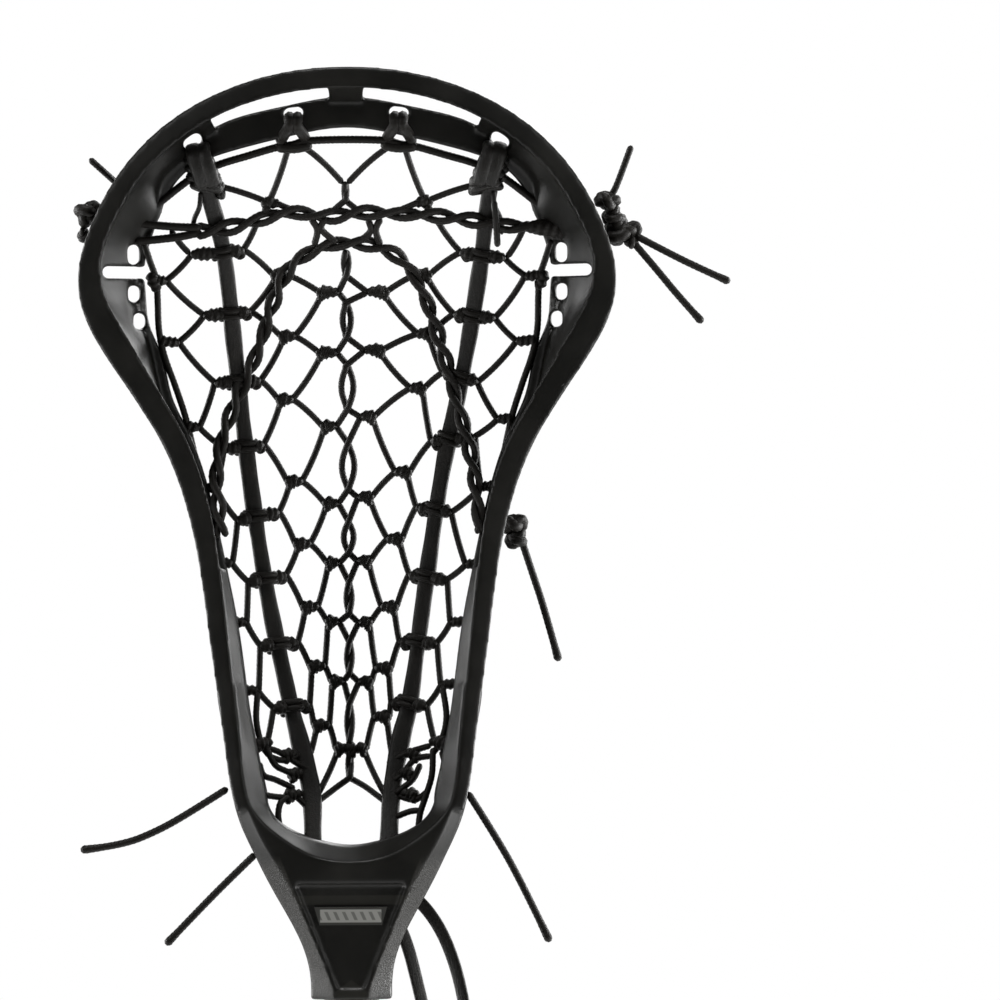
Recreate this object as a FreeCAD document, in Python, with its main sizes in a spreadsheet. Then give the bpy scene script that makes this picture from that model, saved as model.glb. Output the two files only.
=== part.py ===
"""A women's field lacrosse stick: moulded head, laced pocket, eight-sided shaft, screw and butt cap.

Frame: +Z runs up the shaft from its lower end to the scoop, the open face of the head looks along -Y, and
+X is to the right of someone who faces the pocket. The origin is the centre of the shaft's lower end.
Head sizes are measured up from the throat's lower edge, which stands throat_height above the origin.
"""

import FreeCAD
import Part
import Sketcher
import math
import os

from FreeCAD import Placement
from FreeCAD import Rotation
from FreeCAD import Vector

DOCUMENT = FreeCAD.newDocument("LacrosseStick")
SHEET = DOCUMENT.addObject("Spreadsheet::Sheet", "Sizes")

# Driving dimensions, in millimetres and degrees.
SIZES = {
    "shaft_length": 772,
    "shaft_flats": 21,
    "shaft_wall": 1.8,
    "shaft_corner": 1.6,
    "socket_depth": 50,
    "socket_clearance": 0.1,
    "throat_height": 722,
    "cap_flats": 25,
    "cap_length": 30,
    "cap_floor": 4,
    "cap_lip_radius": 15.5,
    "cap_lip_height": 6,
    "cap_clearance": 0.05,
    "cap_rounding": 1.8,
    "screw_height": 18,
    "screw_radius": 2,
    "screw_length": 12,
    "screw_head_radius": 4,
    "screw_head_height": 2.4,
    "screw_drive": 2.2,
    "screw_drive_floor": 0.8,
    "screw_clearance": 0.05,
    "screw_seat": 16.2,
    "screw_seat_clearance": 0.5,
    "front_rail_depth": 6,
    "back_rail_depth": 5.5,
    "wall_thickness": 3,
    "window_corner": 4,
    "scoop_hole_height": 4.2,
    "scoop_hole_length": 7.8,
    "string_hole_radius": 1.7,
    "leather_hole_radius": 3.4,
    "string_slot_width": 4.2,
    "panel_front": 15.6,
    "panel_depth": 2,
    "panel_tilt": 5.4,
    "badge_top": 28,
    "badge_bottom": 24,
    "badge_height": 7,
    "badge_low": 29,
    "badge_thickness": 1.2,
    "leather_width": 6.2,
    "leather_thickness": 4,
    "thong_width": 4.6,
    "lace_diameter": 2.6,
    "knot_diameter": 5.8,
    "leather_knot_radius": 5,
    "end_diameter": 2.8,
    "shooting_width": 6.4,
    "shooting_thickness": 3.4,
    "pocket_sag": 22,
}

# Half of the head, from the middle of the scoop round to the throat. Each station gives the outer edge
# (x, z), the inner edge (x, z), the widths of the front and back rails, and the y of the front and back
# faces.
STATIONS = (
    (0, 358.2, 0, 335, 8.5, 11.9, -34.5, -13),
    (29, 355, 23, 331.5, 8.5, 11.8, -33.5, -12),
    (54, 346, 45, 326, 8.3, 11, -31, -9.5),
    (73, 333.5, 60.5, 319.5, 8.3, 6, -28.5, -5),
    (88, 317, 69, 309.5, 8.3, 5, -25.5, 0.5),
    (98, 299, 74.5, 296, 8.4, 4, -23, 5.5),
    (103, 283, 78.2, 283, 8.6, 3.8, -21, 9.5),
    (103, 270, 77.9, 271, 10.5, 4, -19.8, 12.5),
    (98.5, 257, 76.9, 261, 12, 4.6, -18.7, 15),
    (89, 241.5, 72, 249, 11, 7, -17.7, 17.5),
    (79, 226.5, 68, 232, 9.8, 8, -17, 20),
    (72.5, 215.5, 62, 219, 9.8, 8, -16.6, 21.5),
    (66.8, 203, 56.8, 205.5, 9.4, 8, -16.3, 22.8),
    (61.5, 186, 52, 187.5, 9, 7.5, -16.3, 23.8),
    (57.3, 165, 47.4, 166, 8, 7.5, -16.8, 24.5),
    (54, 140, 42.6, 140.5, 7.3, 8, -17.8, 24.8),
    (50, 111, 38.9, 112, 6, 8, -19.3, 24.5),
    (47, 88, 34.8, 90, 5.2, 8, -20.5, 23.8),
    (43.5, 72.4, 32, 77, 5, 8, -21, 23),
)
LAST_STATION = len(STATIONS) - 1

# The y where the ramp round the ball stop starts, just clear of the throat's face, and where it ends.
RAMP_FRONT = -22
RAMP_BACK = -8

# Windows through the sidewalls: lower and upper height, front and back y.
SIDE_WINDOWS = ((176, 203, -7, 14), (142, 169, -3, 15.5), (108, 135, -3, 15.5))
# Slotted string holes of the scoop: x and z of the middle, and slope down to the side in degrees.
SCOOP_HOLES = ((59, 330), (20.2, 340.8))
SCOOP_HOLE_SLOPES = (34, 6)
# String slots through the rail at each shoulder: x and z of the middle, and height.
STRING_SLOTS = ((82.5, 287, 7), (82.5, 272, 6), (80.5, 261.5, 6))
# The long slot at each shoulder, which reaches further out on the left: its lower end and where it starts.
LONG_SLOT_LOW = 278
LONG_SLOT_LENGTH = 16
LONG_SLOT_STARTS = {-1: -94, 1: 78}
LEATHER_HOLE = (14.8, 9, 70)
LEATHER_HOLE_DIRECTION = (0, 9, -18)
PANEL_OUTLINE = ((-5.2, 3), (5.2, 3), (21.5, 44), (-21.5, 44))

# Throat sections: height, half width, half width of the front flat, y of the front and of the back, bevel.
THROAT_SECTIONS = (
    (0, 15.6, 6.5, -15.6, 15.6, 9),
    (12, 16.2, 9.5, -16, 16.5, 7),
    (26, 21, 15.5, -17.6, 18.5, 6),
    (42, 29.8, 22.5, -19.4, 20.5, 6),
    (57, 37.3, 31, -20.8, 22, 5),
    (72, 43.6, 38, -21, 23, 4.5),
    (80, 45.4, 40.5, -20.9, 23.3, 4.2),
    (100, 48, 43.5, -19.8, 23.6, 4),
    (121, 50.9, 46.5, -18.4, 24.2, 4),
)

# The ball stop: the ridge of its lip, and its inner edge, from the middle to the side.
LIP_RIDGE = ((0, 52.4), (12, 53.9), (21, 58.5), (29.5, 64.7), (38, 73.5), (41.8, 86), (43, 100),
             (44.2, 112), (46.7, 140))
LIP_EDGE = ((0, 58.9), (11.8, 60.8), (21, 64), (28, 68.5), (32, 75), (34, 86), (36.6, 100),
            (38.9, 112), (42.6, 140))

# Routes in the plane of the head, as (x, z), on the pocket's surface.
LEATHER_LEFT = ((-58.5, 330), (-53.5, 311), (-47, 284), (-43, 244), (-38, 194), (-31.7, 154), (-24.5, 118),
                (-18.5, 92), (-15.2, 62))
LEATHER_RIGHT = ((58, 330), (54, 305), (51, 281), (44.5, 243), (36, 203), (29.5, 161), (23.5, 119),
                 (17, 94), (14.6, 62))
SHOOTING_STRAIGHT = ((-77, 297), (-52, 297.5), (-30, 300), (0, 301.5), (30, 300.5), (52, 298), (77, 297))
SHOOTING_ARCH = ((-49.5, 178), (-51.5, 199), (-50, 213), (-43, 231), (-33, 252), (-27, 277), (-14, 288.5),
                 (0, 290.5), (14, 288.5), (26.5, 277), (35, 254), (41.5, 231), (47, 211), (49.5, 192),
                 (50, 179))
TOP_STRING = ((-69, 317), (-59, 323.5), (-50, 322), (-27, 329), (-14, 331.5), (13, 331.5), (26, 329),
              (49, 322), (58, 323.5), (68, 317))

# Heights where the sidewall strings turn, from the scoop down.
SIDEWALL_HEIGHTS = (300, 285, 270, 253, 238, 221, 205, 187, 168, 146, 124, 102, 84)

# How much a leather's knot is stretched along x, y and z.
LEATHER_KNOT_STRETCH = (1.1, 1, 1.5)

# Heights of the net's knots, from the scoop down.
LEATHER_ROWS = (288, 263.5, 238, 213, 187, 162, 138, 114)
SECOND_ROWS = (256, 230.5, 200, 175, 150.5, 127, 105)
INNER_ROWS = (249.5, 221, 191, 168, 144.5, 121.5, 96)
SIDE_ROWS = (278, 253, 221, 195, 168, 146, 119)


def fill_sheet():
    """Write every driving dimension to the sheet under its own name."""
    for row, (name, value) in enumerate(SIZES.items(), start=1):
        SHEET.set(f"A{row}", name)
        SHEET.set(f"B{row}", str(value))
        SHEET.setAlias(f"B{row}", name)
    DOCUMENT.recompute()


def size(name):
    """The sheet's value of one driving dimension."""
    return float(SHEET.get(name))


def bind(thing, **expressions):
    """Bind properties of a document object to expressions on the sheet."""
    for name, expression in expressions.items():
        thing.setExpression(name.replace("__", "."), expression)


# ---------------------------------------------------------------- general shapes


def between(table, key):
    """Straight-line interpolation in a list of (key, value) pairs that rise by key."""
    for (low, low_value), (high, high_value) in zip(table, table[1:]):
        if key <= high:
            share = max(0.0, (key - low) / (high - low))
            return low_value + share * (high_value - low_value)
    return table[-1][1]


def solid_feature(name, shape):
    """A Part::Feature for one sub-part, lifted from head heights to the row frame."""
    feature = DOCUMENT.addObject("Part::Feature", name)
    feature.Label = name
    feature.Shape = shape
    lift = Placement(Vector(0, 0, size("throat_height")), Rotation())
    feature.Placement = lift.multiply(shape.Placement)
    return feature


def spline(points):
    """An interpolated curve whose parameter counts its points."""
    curve = Part.BSplineCurve()
    curve.interpolate(Points=points, Parameters=[float(i) for i in range(len(points))])
    return curve


def lofted(sections):
    """A closed solid, smooth along its length, through closed sections given by their corners."""
    return Part.makeLoft([Part.makePolygon(corners + corners[:1]) for corners in sections], True, False)


def route_wire(points):
    """Straight runs joined by tangent arcs as large as the runs allow, with the smallest radius."""
    edges = []
    radii = []
    here = points[0]
    for before, corner, after in zip(points, points[1:], points[2:]):
        back = (before - corner).normalize()
        on = (after - corner).normalize()
        turn = math.pi - back.getAngle(on)
        reach = 0.45 * min((before - corner).Length, (after - corner).Length)
        radius = reach / math.tan(turn / 2)
        inward = (back + on).normalize()
        centre = corner + inward * (radius / math.cos(turn / 2))
        start = corner + back * reach
        edges.append(Part.LineSegment(here, start).toShape())
        here = corner + on * reach
        edges.append(Part.Arc(start, centre - inward * radius, here).toShape())
        radii.append(radius)
    edges.append(Part.LineSegment(here, points[-1]).toShape())
    return Part.Wire(edges), min(radii, default=0)


def tube(name, points, diameter):
    """A round tube along a route, its volume compared with its section times its length."""
    vectors = [Vector(*point) for point in points]
    wire, radius = route_wire(vectors)
    circle = Part.Circle(vectors[0], vectors[1] - vectors[0], diameter / 2)
    solid = wire.makePipeShell([Part.Wire([circle.toShape()])], True, False)
    expected = math.pi * diameter ** 2 / 4 * wire.Length
    if abs(solid.Volume / expected - 1) > 0.02:
        raise ValueError(f"{name}: volume {solid.Volume:.1f}, expected {expected:.1f}")
    print(f"{name}: length {wire.Length:.1f} mm, smallest radius {radius:.1f} mm")
    return solid


def rod(start, end, diameter):
    """A plain round rod between two points."""
    along = end - start
    return Part.makeCylinder(diameter / 2, along.Length, start, along)


def knot_lump(centre, radius):
    """A knot of the net: a short eight-sided lump that faces the open side of the head."""
    corners = [centre + Vector(radius * math.cos(math.radians(10 + 45 * i)), -0.8 * radius,
                               radius * math.sin(math.radians(10 + 45 * i))) for i in range(8)]
    return Part.Face(Part.makePolygon(corners + corners[:1])).extrude(Vector(0, 1.6 * radius, 0))


def net(knots, strands):
    """Knots as lumps, with rods that end inside them, fused to one solid."""
    lump = size("knot_diameter") / 2
    keep_back = 0.7 * lump
    pieces = [knot_lump(point, lump) for point in knots.values()]
    for one, two in strands:
        along = (knots[two] - knots[one]).normalize()
        pieces.append(rod(knots[one] + along * keep_back, knots[two] - along * keep_back,
                          size("lace_diameter")))
    return pieces[0].multiFuse(pieces[1:])


# ---------------------------------------------------------------- the pocket's surface

EDGE_DEPTHS = tuple(sorted((station[3], station[7] - 4.5) for station in STATIONS))
EDGE_WIDTHS = tuple(sorted((station[3], max(station[2], 20)) for station in STATIONS))
POCKET_BOTTOM = 60
POCKET_TOP = 341


def pocket_y(x, z):
    """Depth of the pocket's surface: the back rail's at the edge, and sagging in the middle."""
    share = min(1, max(0, (z - POCKET_BOTTOM) / (POCKET_TOP - POCKET_BOTTOM)))
    sag = size("pocket_sag") * 6.75 * share * (1 - share) ** 2
    across = min(1, abs(x) / between(EDGE_WIDTHS, z))
    return between(EDGE_DEPTHS, z) + sag * (1 - across ** 2)


def on_pocket(x, z, proud=0):
    """A point of the pocket's surface, set back from the face by proud."""
    return Vector(x, pocket_y(x, z) + proud, z)


def strip(route, width, thickness, proud=0):
    """A flat strip along a route on the pocket's surface."""
    middle = [on_pocket(x, z, proud) for x, z in route]
    sections = []
    for i, point in enumerate(middle):
        along = middle[min(i + 1, len(middle) - 1)] - middle[max(i - 1, 0)]
        across = along.cross(Vector(0, 1, 0)).normalize() * (width / 2)
        outward = across.cross(along).normalize() * (thickness / 2)
        sections.append([point - across - outward, point + across - outward,
                         point + across + outward, point - across + outward])
    return lofted(sections)


# ---------------------------------------------------------------- shaft, cap and screw


def plane_of(body, role):
    """One of a body's own origin planes."""
    return next(item for item in body.Origin.OriginFeatures if item.Role == role)


def new_sketch(body, name, role="XY_Plane"):
    """A sketch on one of its body's own origin planes."""
    sketch = body.newObject("Sketcher::SketchObject", name)
    sketch.AttachmentSupport = (plane_of(body, role), "")
    sketch.MapMode = "FlatFace"
    return sketch


def add_octagon(sketch, flats_expression):
    """A regular octagon about the sketch's origin, sized by one expression for its width over flats."""
    first = sketch.GeometryCount
    radius = 10
    corners = [Vector(radius * math.cos(math.radians(a)), radius * math.sin(math.radians(a)), 0)
               for a in (22.5 + 45 * i for i in range(8))]
    for i in range(8):
        sketch.addGeometry(Part.LineSegment(corners[i], corners[(i + 1) % 8]), False)
    ring = sketch.addGeometry(Part.Circle(Vector(), Vector(0, 0, 1), radius), True)
    sketch.addConstraint(Sketcher.Constraint("Coincident", ring, 3, -1, 1))
    for i in range(8):
        side = first + i
        following = first + (i + 1) % 8
        sketch.addConstraint(Sketcher.Constraint("Coincident", side, 2, following, 1))
        sketch.addConstraint(Sketcher.Constraint("PointOnObject", side, 1, ring))
    for i in range(7):
        sketch.addConstraint(Sketcher.Constraint("Equal", first + i, first + i + 1))
    sketch.addConstraint(Sketcher.Constraint("Horizontal", first + 1))
    constraint = sketch.addConstraint(Sketcher.Constraint("Radius", ring, radius))
    sketch.setExpression(f"Constraints[{constraint}]", f"({flats_expression}) / 2 / cos(22.5 deg)")


def add_circle(sketch, radius_expression, x=0, y_expression=None):
    """A circle sized by an expression, centred on the sketch's vertical axis."""
    ring = sketch.addGeometry(Part.Circle(Vector(x, 1, 0), Vector(0, 0, 1), 2), False)
    constraint = sketch.addConstraint(Sketcher.Constraint("Radius", ring, 2))
    sketch.setExpression(f"Constraints[{constraint}]", radius_expression)
    if y_expression is None:
        sketch.addConstraint(Sketcher.Constraint("Coincident", ring, 3, -1, 1))
        return
    sketch.addConstraint(Sketcher.Constraint("PointOnObject", ring, 3, -2))
    constraint = sketch.addConstraint(Sketcher.Constraint("DistanceY", -1, 1, ring, 3, 1))
    sketch.setExpression(f"Constraints[{constraint}]", y_expression)


def new_body(name):
    """A PartDesign body that is labelled as its node."""
    body = DOCUMENT.addObject("PartDesign::Body", name)
    body.Label = name
    return body


def build_shaft():
    """The eight-sided tube, with rounded corners and the screw's hole in its back wall."""
    body = new_body("shaft_tube")
    outline = new_sketch(body, "ShaftOutline")
    add_octagon(outline, "Sizes.shaft_flats")
    pad = body.newObject("PartDesign::Pad", "ShaftPad")
    pad.Profile = outline
    bind(pad, Length="Sizes.shaft_length")
    DOCUMENT.recompute()
    rounding = body.newObject("PartDesign::Fillet", "ShaftCorners")
    corners = [f"Edge{i}" for i, edge in enumerate(pad.Shape.Edges, start=1)
               if abs(edge.tangentAt(edge.FirstParameter).z) > 0.9]
    rounding.Base = (pad, corners)
    bind(rounding, Radius="Sizes.shaft_corner")
    bore_outline = new_sketch(body, "BoreOutline")
    add_octagon(bore_outline, "Sizes.shaft_flats - 2 * Sizes.shaft_wall")
    bore = body.newObject("PartDesign::Pocket", "ShaftBore")
    bore.Profile = bore_outline
    bore.Type = "ThroughAll"
    bore.Reversed = True
    hole_outline = new_sketch(body, "ScrewHoleOutline", "XZ_Plane")
    add_circle(hole_outline, "Sizes.screw_radius + Sizes.screw_clearance", 0,
               "Sizes.throat_height + Sizes.screw_height")
    hole = body.newObject("PartDesign::Pocket", "ScrewHole")
    hole.Profile = hole_outline
    bind(hole, Length="Sizes.shaft_flats")
    DOCUMENT.recompute()
    return body


def build_cap():
    """The rubber cap: an eight-sided cup over the shaft's end, with a round lip."""
    body = new_body("butt_cap")
    outline = new_sketch(body, "CapOutline")
    add_octagon(outline, "Sizes.cap_flats")
    sleeve = body.newObject("PartDesign::Pad", "CapSleeve")
    sleeve.Profile = outline
    bind(sleeve, Length="Sizes.cap_length + Sizes.cap_floor")
    lip_outline = new_sketch(body, "LipOutline")
    add_circle(lip_outline, "Sizes.cap_lip_radius")
    lip = body.newObject("PartDesign::Pad", "CapLip")
    lip.Profile = lip_outline
    bind(lip, Length="Sizes.cap_lip_height")
    cup_outline = new_sketch(body, "CupOutline")
    cup_outline.AttachmentOffset = Placement(Vector(0, 0, size("cap_floor")), Rotation())
    cup_outline.setExpression("AttachmentOffset.Base.z", "Sizes.cap_floor")
    add_octagon(cup_outline, "Sizes.shaft_flats + 2 * Sizes.cap_clearance")
    cup = body.newObject("PartDesign::Pocket", "CapCup")
    cup.Profile = cup_outline
    cup.Reversed = True
    bind(cup, Length="Sizes.cap_length + 1")
    DOCUMENT.recompute()
    rounding = body.newObject("PartDesign::Fillet", "CapRounding")
    rims = [f"Edge{i}" for i, edge in enumerate(cup.Shape.Edges, start=1)
            if edge.Curve.TypeId == "Part::GeomCircle" and edge.Curve.Radius > size("cap_flats") / 2]
    rounding.Base = (cup, rims)
    bind(rounding, Radius="Sizes.cap_rounding")
    body.Placement = Placement(Vector(0, 0, -size("cap_floor")), Rotation())
    bind(body, Placement__Base__z="-Sizes.cap_floor")
    DOCUMENT.recompute()
    return body


def build_screw():
    """The head screw: a domed head with a square drive, and its shank, lying along +Y."""
    dome = DOCUMENT.addObject("Part::Cone", "ScrewDome")
    bind(dome, Radius1="Sizes.screw_head_radius", Radius2="Sizes.screw_head_radius * 0.6",
         Height="Sizes.screw_head_height")
    shank = DOCUMENT.addObject("Part::Cylinder", "ScrewShank")
    bind(shank, Radius="Sizes.screw_radius", Height="Sizes.screw_length + 1",
         Placement__Base__z="-Sizes.screw_length")
    drive = DOCUMENT.addObject("Part::Box", "ScrewDrive")
    bind(drive, Length="Sizes.screw_drive", Width="Sizes.screw_drive", Height="Sizes.screw_head_height",
         Placement__Base__x="-Sizes.screw_drive / 2", Placement__Base__y="-Sizes.screw_drive / 2",
         Placement__Base__z="Sizes.screw_drive_floor")
    whole = DOCUMENT.addObject("Part::Fuse", "ScrewBlank")
    whole.Base = dome
    whole.Tool = shank
    screw = DOCUMENT.addObject("Part::Cut", "head_screw")
    screw.Label = "head_screw"
    screw.Base = whole
    screw.Tool = drive
    seat = Vector(0, size("screw_seat"), size("throat_height") + size("screw_height"))
    screw.Placement = Placement(seat, Rotation(Vector(1, 0, 0), -90))
    DOCUMENT.recompute()
    return screw


# ---------------------------------------------------------------- the head


def round_the_head(first, second):
    """Two of a station's values as a smooth curve round the head, left side first."""
    mirrored = [tuple(-value if place in (0, 2) else value for place, value in enumerate(station))
                for station in reversed(STATIONS[1:])]
    return spline([Vector(station[first], 10 * count, station[second])
                   for count, station in enumerate(mirrored + list(STATIONS))])


HEAD_CURVES = [round_the_head(0, 1), round_the_head(2, 3), round_the_head(4, 5), round_the_head(6, 7)]


def station_at(place):
    """A station's eight values at any place: 0 is the middle of the scoop, negative is to the left."""
    values = []
    for curve in HEAD_CURVES:
        point = curve.value(place + LAST_STATION)
        values += [point.x, point.z]
    return values


def station_width(station):
    """Distance from a station's outer edge to its inner edge."""
    return math.hypot(station[0] - station[2], station[1] - station[3])


def rail(corners, places):
    """A bar round the head; corners gives (inward from the outer edge, y) pairs for a station."""
    sections = []
    for place in places:
        station = station_at(place)
        outer = Vector(station[0], 0, station[1])
        inward = (Vector(station[2], 0, station[3]) - outer).normalize()
        section = []
        for reach, y in corners(station):
            at = outer + inward * reach
            section.append(Vector(at.x, y, at.z))
        sections.append(section)
    return lofted(sections)


def front_rail(station):
    """The front rail: its face falls away to the outside, from a ridge at its inner edge."""
    width, face = station[4], station[6]
    back = face + size("front_rail_depth")
    return (0, face + 1.5), (width, face), (width - 1, back), (0.8, back)


def back_rail(station):
    """The back rail, which carries the strings."""
    inner, back = station_width(station), station[7]
    front = back - size("back_rail_depth")
    return (inner - station[5], front), (inner, front), (inner, back), (inner - station[5], back)


def side_wall(station):
    """The wall that slopes from the front rail to the back rail."""
    front = (station[4] - 0.6, station[6] + 3)
    back = (station_width(station) - station[5] + 0.4, station[7] - 3)
    wall = size("wall_thickness")
    return (front[0] - wall, front[1]), front, (back[0] + wall, back[1]), back


def lip_ramp(station):
    """The ramp from the front rail's ridge to the pocket's edge, which widens towards the ball stop."""
    ridge, face = station[4], station[6]
    edge = station_width(station)
    return ((ridge - 2, face + 1), (ridge, face + 0.2), (edge, RAMP_BACK), (edge, RAMP_BACK + 4),
            (ridge - 2, face + 7))


def head_bars():
    """The rails, the bridge in the middle of the scoop, and a wall and a ramp down each side."""
    whole = range(-LAST_STATION, LAST_STATION + 1)
    side = [2.05, 2.5] + list(range(3, LAST_STATION + 1))
    low = [14, 14.5] + list(range(15, LAST_STATION + 1))
    return [
        rail(front_rail, whole),
        rail(back_rail, whole),
        rail(side_wall, (-0.25, 0, 0.25)),
        rail(side_wall, side),
        rail(side_wall, [-place for place in reversed(side)]),
        rail(lip_ramp, low),
        rail(lip_ramp, [-place for place in reversed(low)]),
    ]


def throat_block():
    """The solid throat, lofted through bevelled sections."""
    wires = []
    for height, wide, flat, front, back, bevel in THROAT_SECTIONS:
        corners = [(-flat, front), (flat, front), (wide, front + bevel), (wide, back - 4),
                   (wide - 4, back), (4 - wide, back), (-wide, back - 4), (-wide, front + bevel)]
        vectors = [Vector(x, y, height) for x, y in corners]
        wires.append(Part.makePolygon(vectors + vectors[:1]))
    return Part.makeLoft(wires, True, False)


def mouth_face(half_line, y):
    """A face inside the ball stop: the smooth lip below, closed by straight lines above."""
    left = [Vector(-x, y, z) for x, z in reversed(half_line[1:])]
    right = [Vector(x, y, z) for x, z in half_line]
    lip = spline(left + right).toShape()
    corners = [right[-1], left[0]]
    return Part.Wire([lip, Part.makeLine(corners[0], corners[1])])


def mouth_cutter():
    """What the ball stop leaves open: a ramp at the front, and a straight opening behind it."""
    ramp = Part.makeLoft([mouth_face(LIP_RIDGE, RAMP_FRONT), mouth_face(LIP_EDGE, RAMP_BACK)], True, True)
    opening = Part.Face(mouth_face(LIP_EDGE, RAMP_BACK - 0.01)).extrude(Vector(0, 60, 0))
    return [ramp, opening]


def octagon_prism(flats, low, high):
    """An upright eight-sided prism about the shaft's axis."""
    radius = flats / 2 / math.cos(math.radians(22.5))
    corners = [Vector(radius * math.cos(math.radians(22.5 + 45 * i)),
                      radius * math.sin(math.radians(22.5 + 45 * i)), low) for i in range(9)]
    return Part.Face(Part.makePolygon(corners)).extrude(Vector(0, 0, high - low))


def tilted_prism(outline, y_front, thickness):
    """A plate from an (x, z) outline, leaning back with the throat's front."""
    vectors = [Vector(x, y_front, z) for x, z in outline]
    plate = Part.Face(Part.makePolygon(vectors + vectors[:1])).extrude(Vector(0, thickness, 0))
    plate.rotate(Vector(0, y_front, 0), Vector(1, 0, 0), size("panel_tilt"))
    return plate


def side_window(low, high, front, back):
    """A round-cornered opening through both sidewalls, along X."""
    reach = STATIONS[6][0] + 10
    box = Part.makeBox(2 * reach, back - front, high - low, Vector(-reach, front, low))
    long_edges = [e for e in box.Edges if abs(e.tangentAt(e.FirstParameter).x) > 0.9]
    return box.makeFillet(size("window_corner"), long_edges)


def scoop_hole(side, x, z, slope):
    """A slot with round ends through the scoop's back rail, along Y."""
    radius = size("scoop_hole_height") / 2
    straight = size("scoop_hole_length") / 2 - radius
    slot = Part.makeBox(2 * straight, 60, 2 * radius, Vector(-straight, -40, -radius))
    for end in (-straight, straight):
        slot = slot.fuse(Part.makeCylinder(radius, 60, Vector(end, -40, 0), Vector(0, 1, 0)))
    slot.rotate(Vector(), Vector(0, 1, 0), side * slope)
    slot.translate(Vector(side * x, 0, z))
    return slot


def head_cutters():
    """Everything that is open in the head: socket, panel, windows, string holes and screw hole."""
    in_front = -40
    through = 60
    backwards = Vector(0, 1, 0)
    slot = size("string_slot_width")
    socket = octagon_prism(size("shaft_flats") + 2 * size("socket_clearance"), -1,
                           size("socket_depth") + 0.4)
    proud = 10
    panel = tilted_prism(PANEL_OUTLINE, -size("panel_front") - proud, proud + size("panel_depth"))
    cutters = [socket, panel]
    for low, high, front, back in SIDE_WINDOWS:
        cutters.append(side_window(low, high, front, back))
    for side in (-1, 1):
        for (x, z), slope in zip(SCOOP_HOLES, SCOOP_HOLE_SLOPES):
            cutters.append(scoop_hole(side, x, z, slope))
        for x, z, tall in STRING_SLOTS:
            corner = Vector(side * x - slot / 2, in_front, z - tall / 2)
            cutters.append(Part.makeBox(slot, through, tall, corner))
        cutters.append(Part.makeBox(LONG_SLOT_LENGTH, through, slot,
                                    Vector(LONG_SLOT_STARTS[side], in_front, LONG_SLOT_LOW)))
        x, y, z = LEATHER_HOLE
        cutters.append(Part.makeCylinder(size("leather_hole_radius"), through, Vector(side * x, y, z),
                                         Vector(*LEATHER_HOLE_DIRECTION)))
        for z in SIDE_ROWS[3:]:
            start = Vector(side * STATIONS[-1][2], between(EDGE_DEPTHS, z) - 4, z)
            cutters.append(Part.makeCylinder(size("string_hole_radius"), through, start, Vector(side, 0, 0)))
    screw = Part.makeCylinder(size("screw_radius") + size("screw_clearance"), through,
                              Vector(0, 0, size("screw_height")), backwards)
    seat = Part.makeCylinder(size("screw_head_radius") + size("screw_seat_clearance"), through,
                             Vector(0, size("screw_seat"), size("screw_height")), backwards)
    return cutters + [screw, seat]


def build_head():
    """The whole moulded head as one solid."""
    throat = throat_block().cut(mouth_cutter())
    return solid_feature("head_frame", throat.multiFuse(head_bars()).cut(head_cutters()).Solids[0])


def build_badge():
    """The plain trapezoid plate in the throat's front panel."""
    top = size("badge_top") / 2
    bottom = size("badge_bottom") / 2
    low = size("badge_low")
    high = low + size("badge_height")
    outline = ((-bottom, low), (bottom, low), (top, high), (-top, high))
    face = size("panel_depth") - size("panel_front") - size("badge_thickness")
    return solid_feature("throat_badge", tilted_prism(outline, face, size("badge_thickness")))


# ---------------------------------------------------------------- strings


def build_leathers():
    """The two thick leathers, and the knots that tie them round the scoop's outer holes."""
    for name, route in (("left", LEATHER_LEFT), ("right", LEATHER_RIGHT)):
        solid_feature(f"leather_{name}", strip(route, size("leather_width"), size("leather_thickness")))
        x, z = route[0]
        stretch = FreeCAD.Matrix()
        stretch.scale(*LEATHER_KNOT_STRETCH)
        knot = Part.makeSphere(size("leather_knot_radius")).transformGeometry(stretch)
        knot.translate(on_pocket(x * 0.985, z - 6))
        solid_feature(f"leather_knot_{name}", knot)


def build_plain_strings():
    """The top string, the sidewall strings and the two shooting strings."""
    top = [tuple(on_pocket(x, z, 1)) for x, z in TOP_STRING]
    solid_feature("top_string", tube("top_string", top, size("lace_diameter")))
    for name, side in (("left", -1), ("right", 1)):
        points = []
        for z in SIDEWALL_HEIGHTS:
            x = between(EDGE_WIDTHS, z) - 2.4
            points.append((side * x, pocket_y(x, z), z))
        label = f"sidewall_string_{name}"
        solid_feature(label, tube(label, points, size("lace_diameter")))
    width = size("shooting_width")
    thickness = size("shooting_thickness")
    solid_feature("shooting_straight", strip(SHOOTING_STRAIGHT, width, thickness, -4))
    solid_feature("shooting_arch", strip(SHOOTING_ARCH, width * 0.8, thickness, -4))


def leather_x(side, z):
    """Where a leather's middle is at a height."""
    route = LEATHER_LEFT if side < 0 else LEATHER_RIGHT
    return between([(height, x) for x, height in reversed(route)], z)


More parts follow.
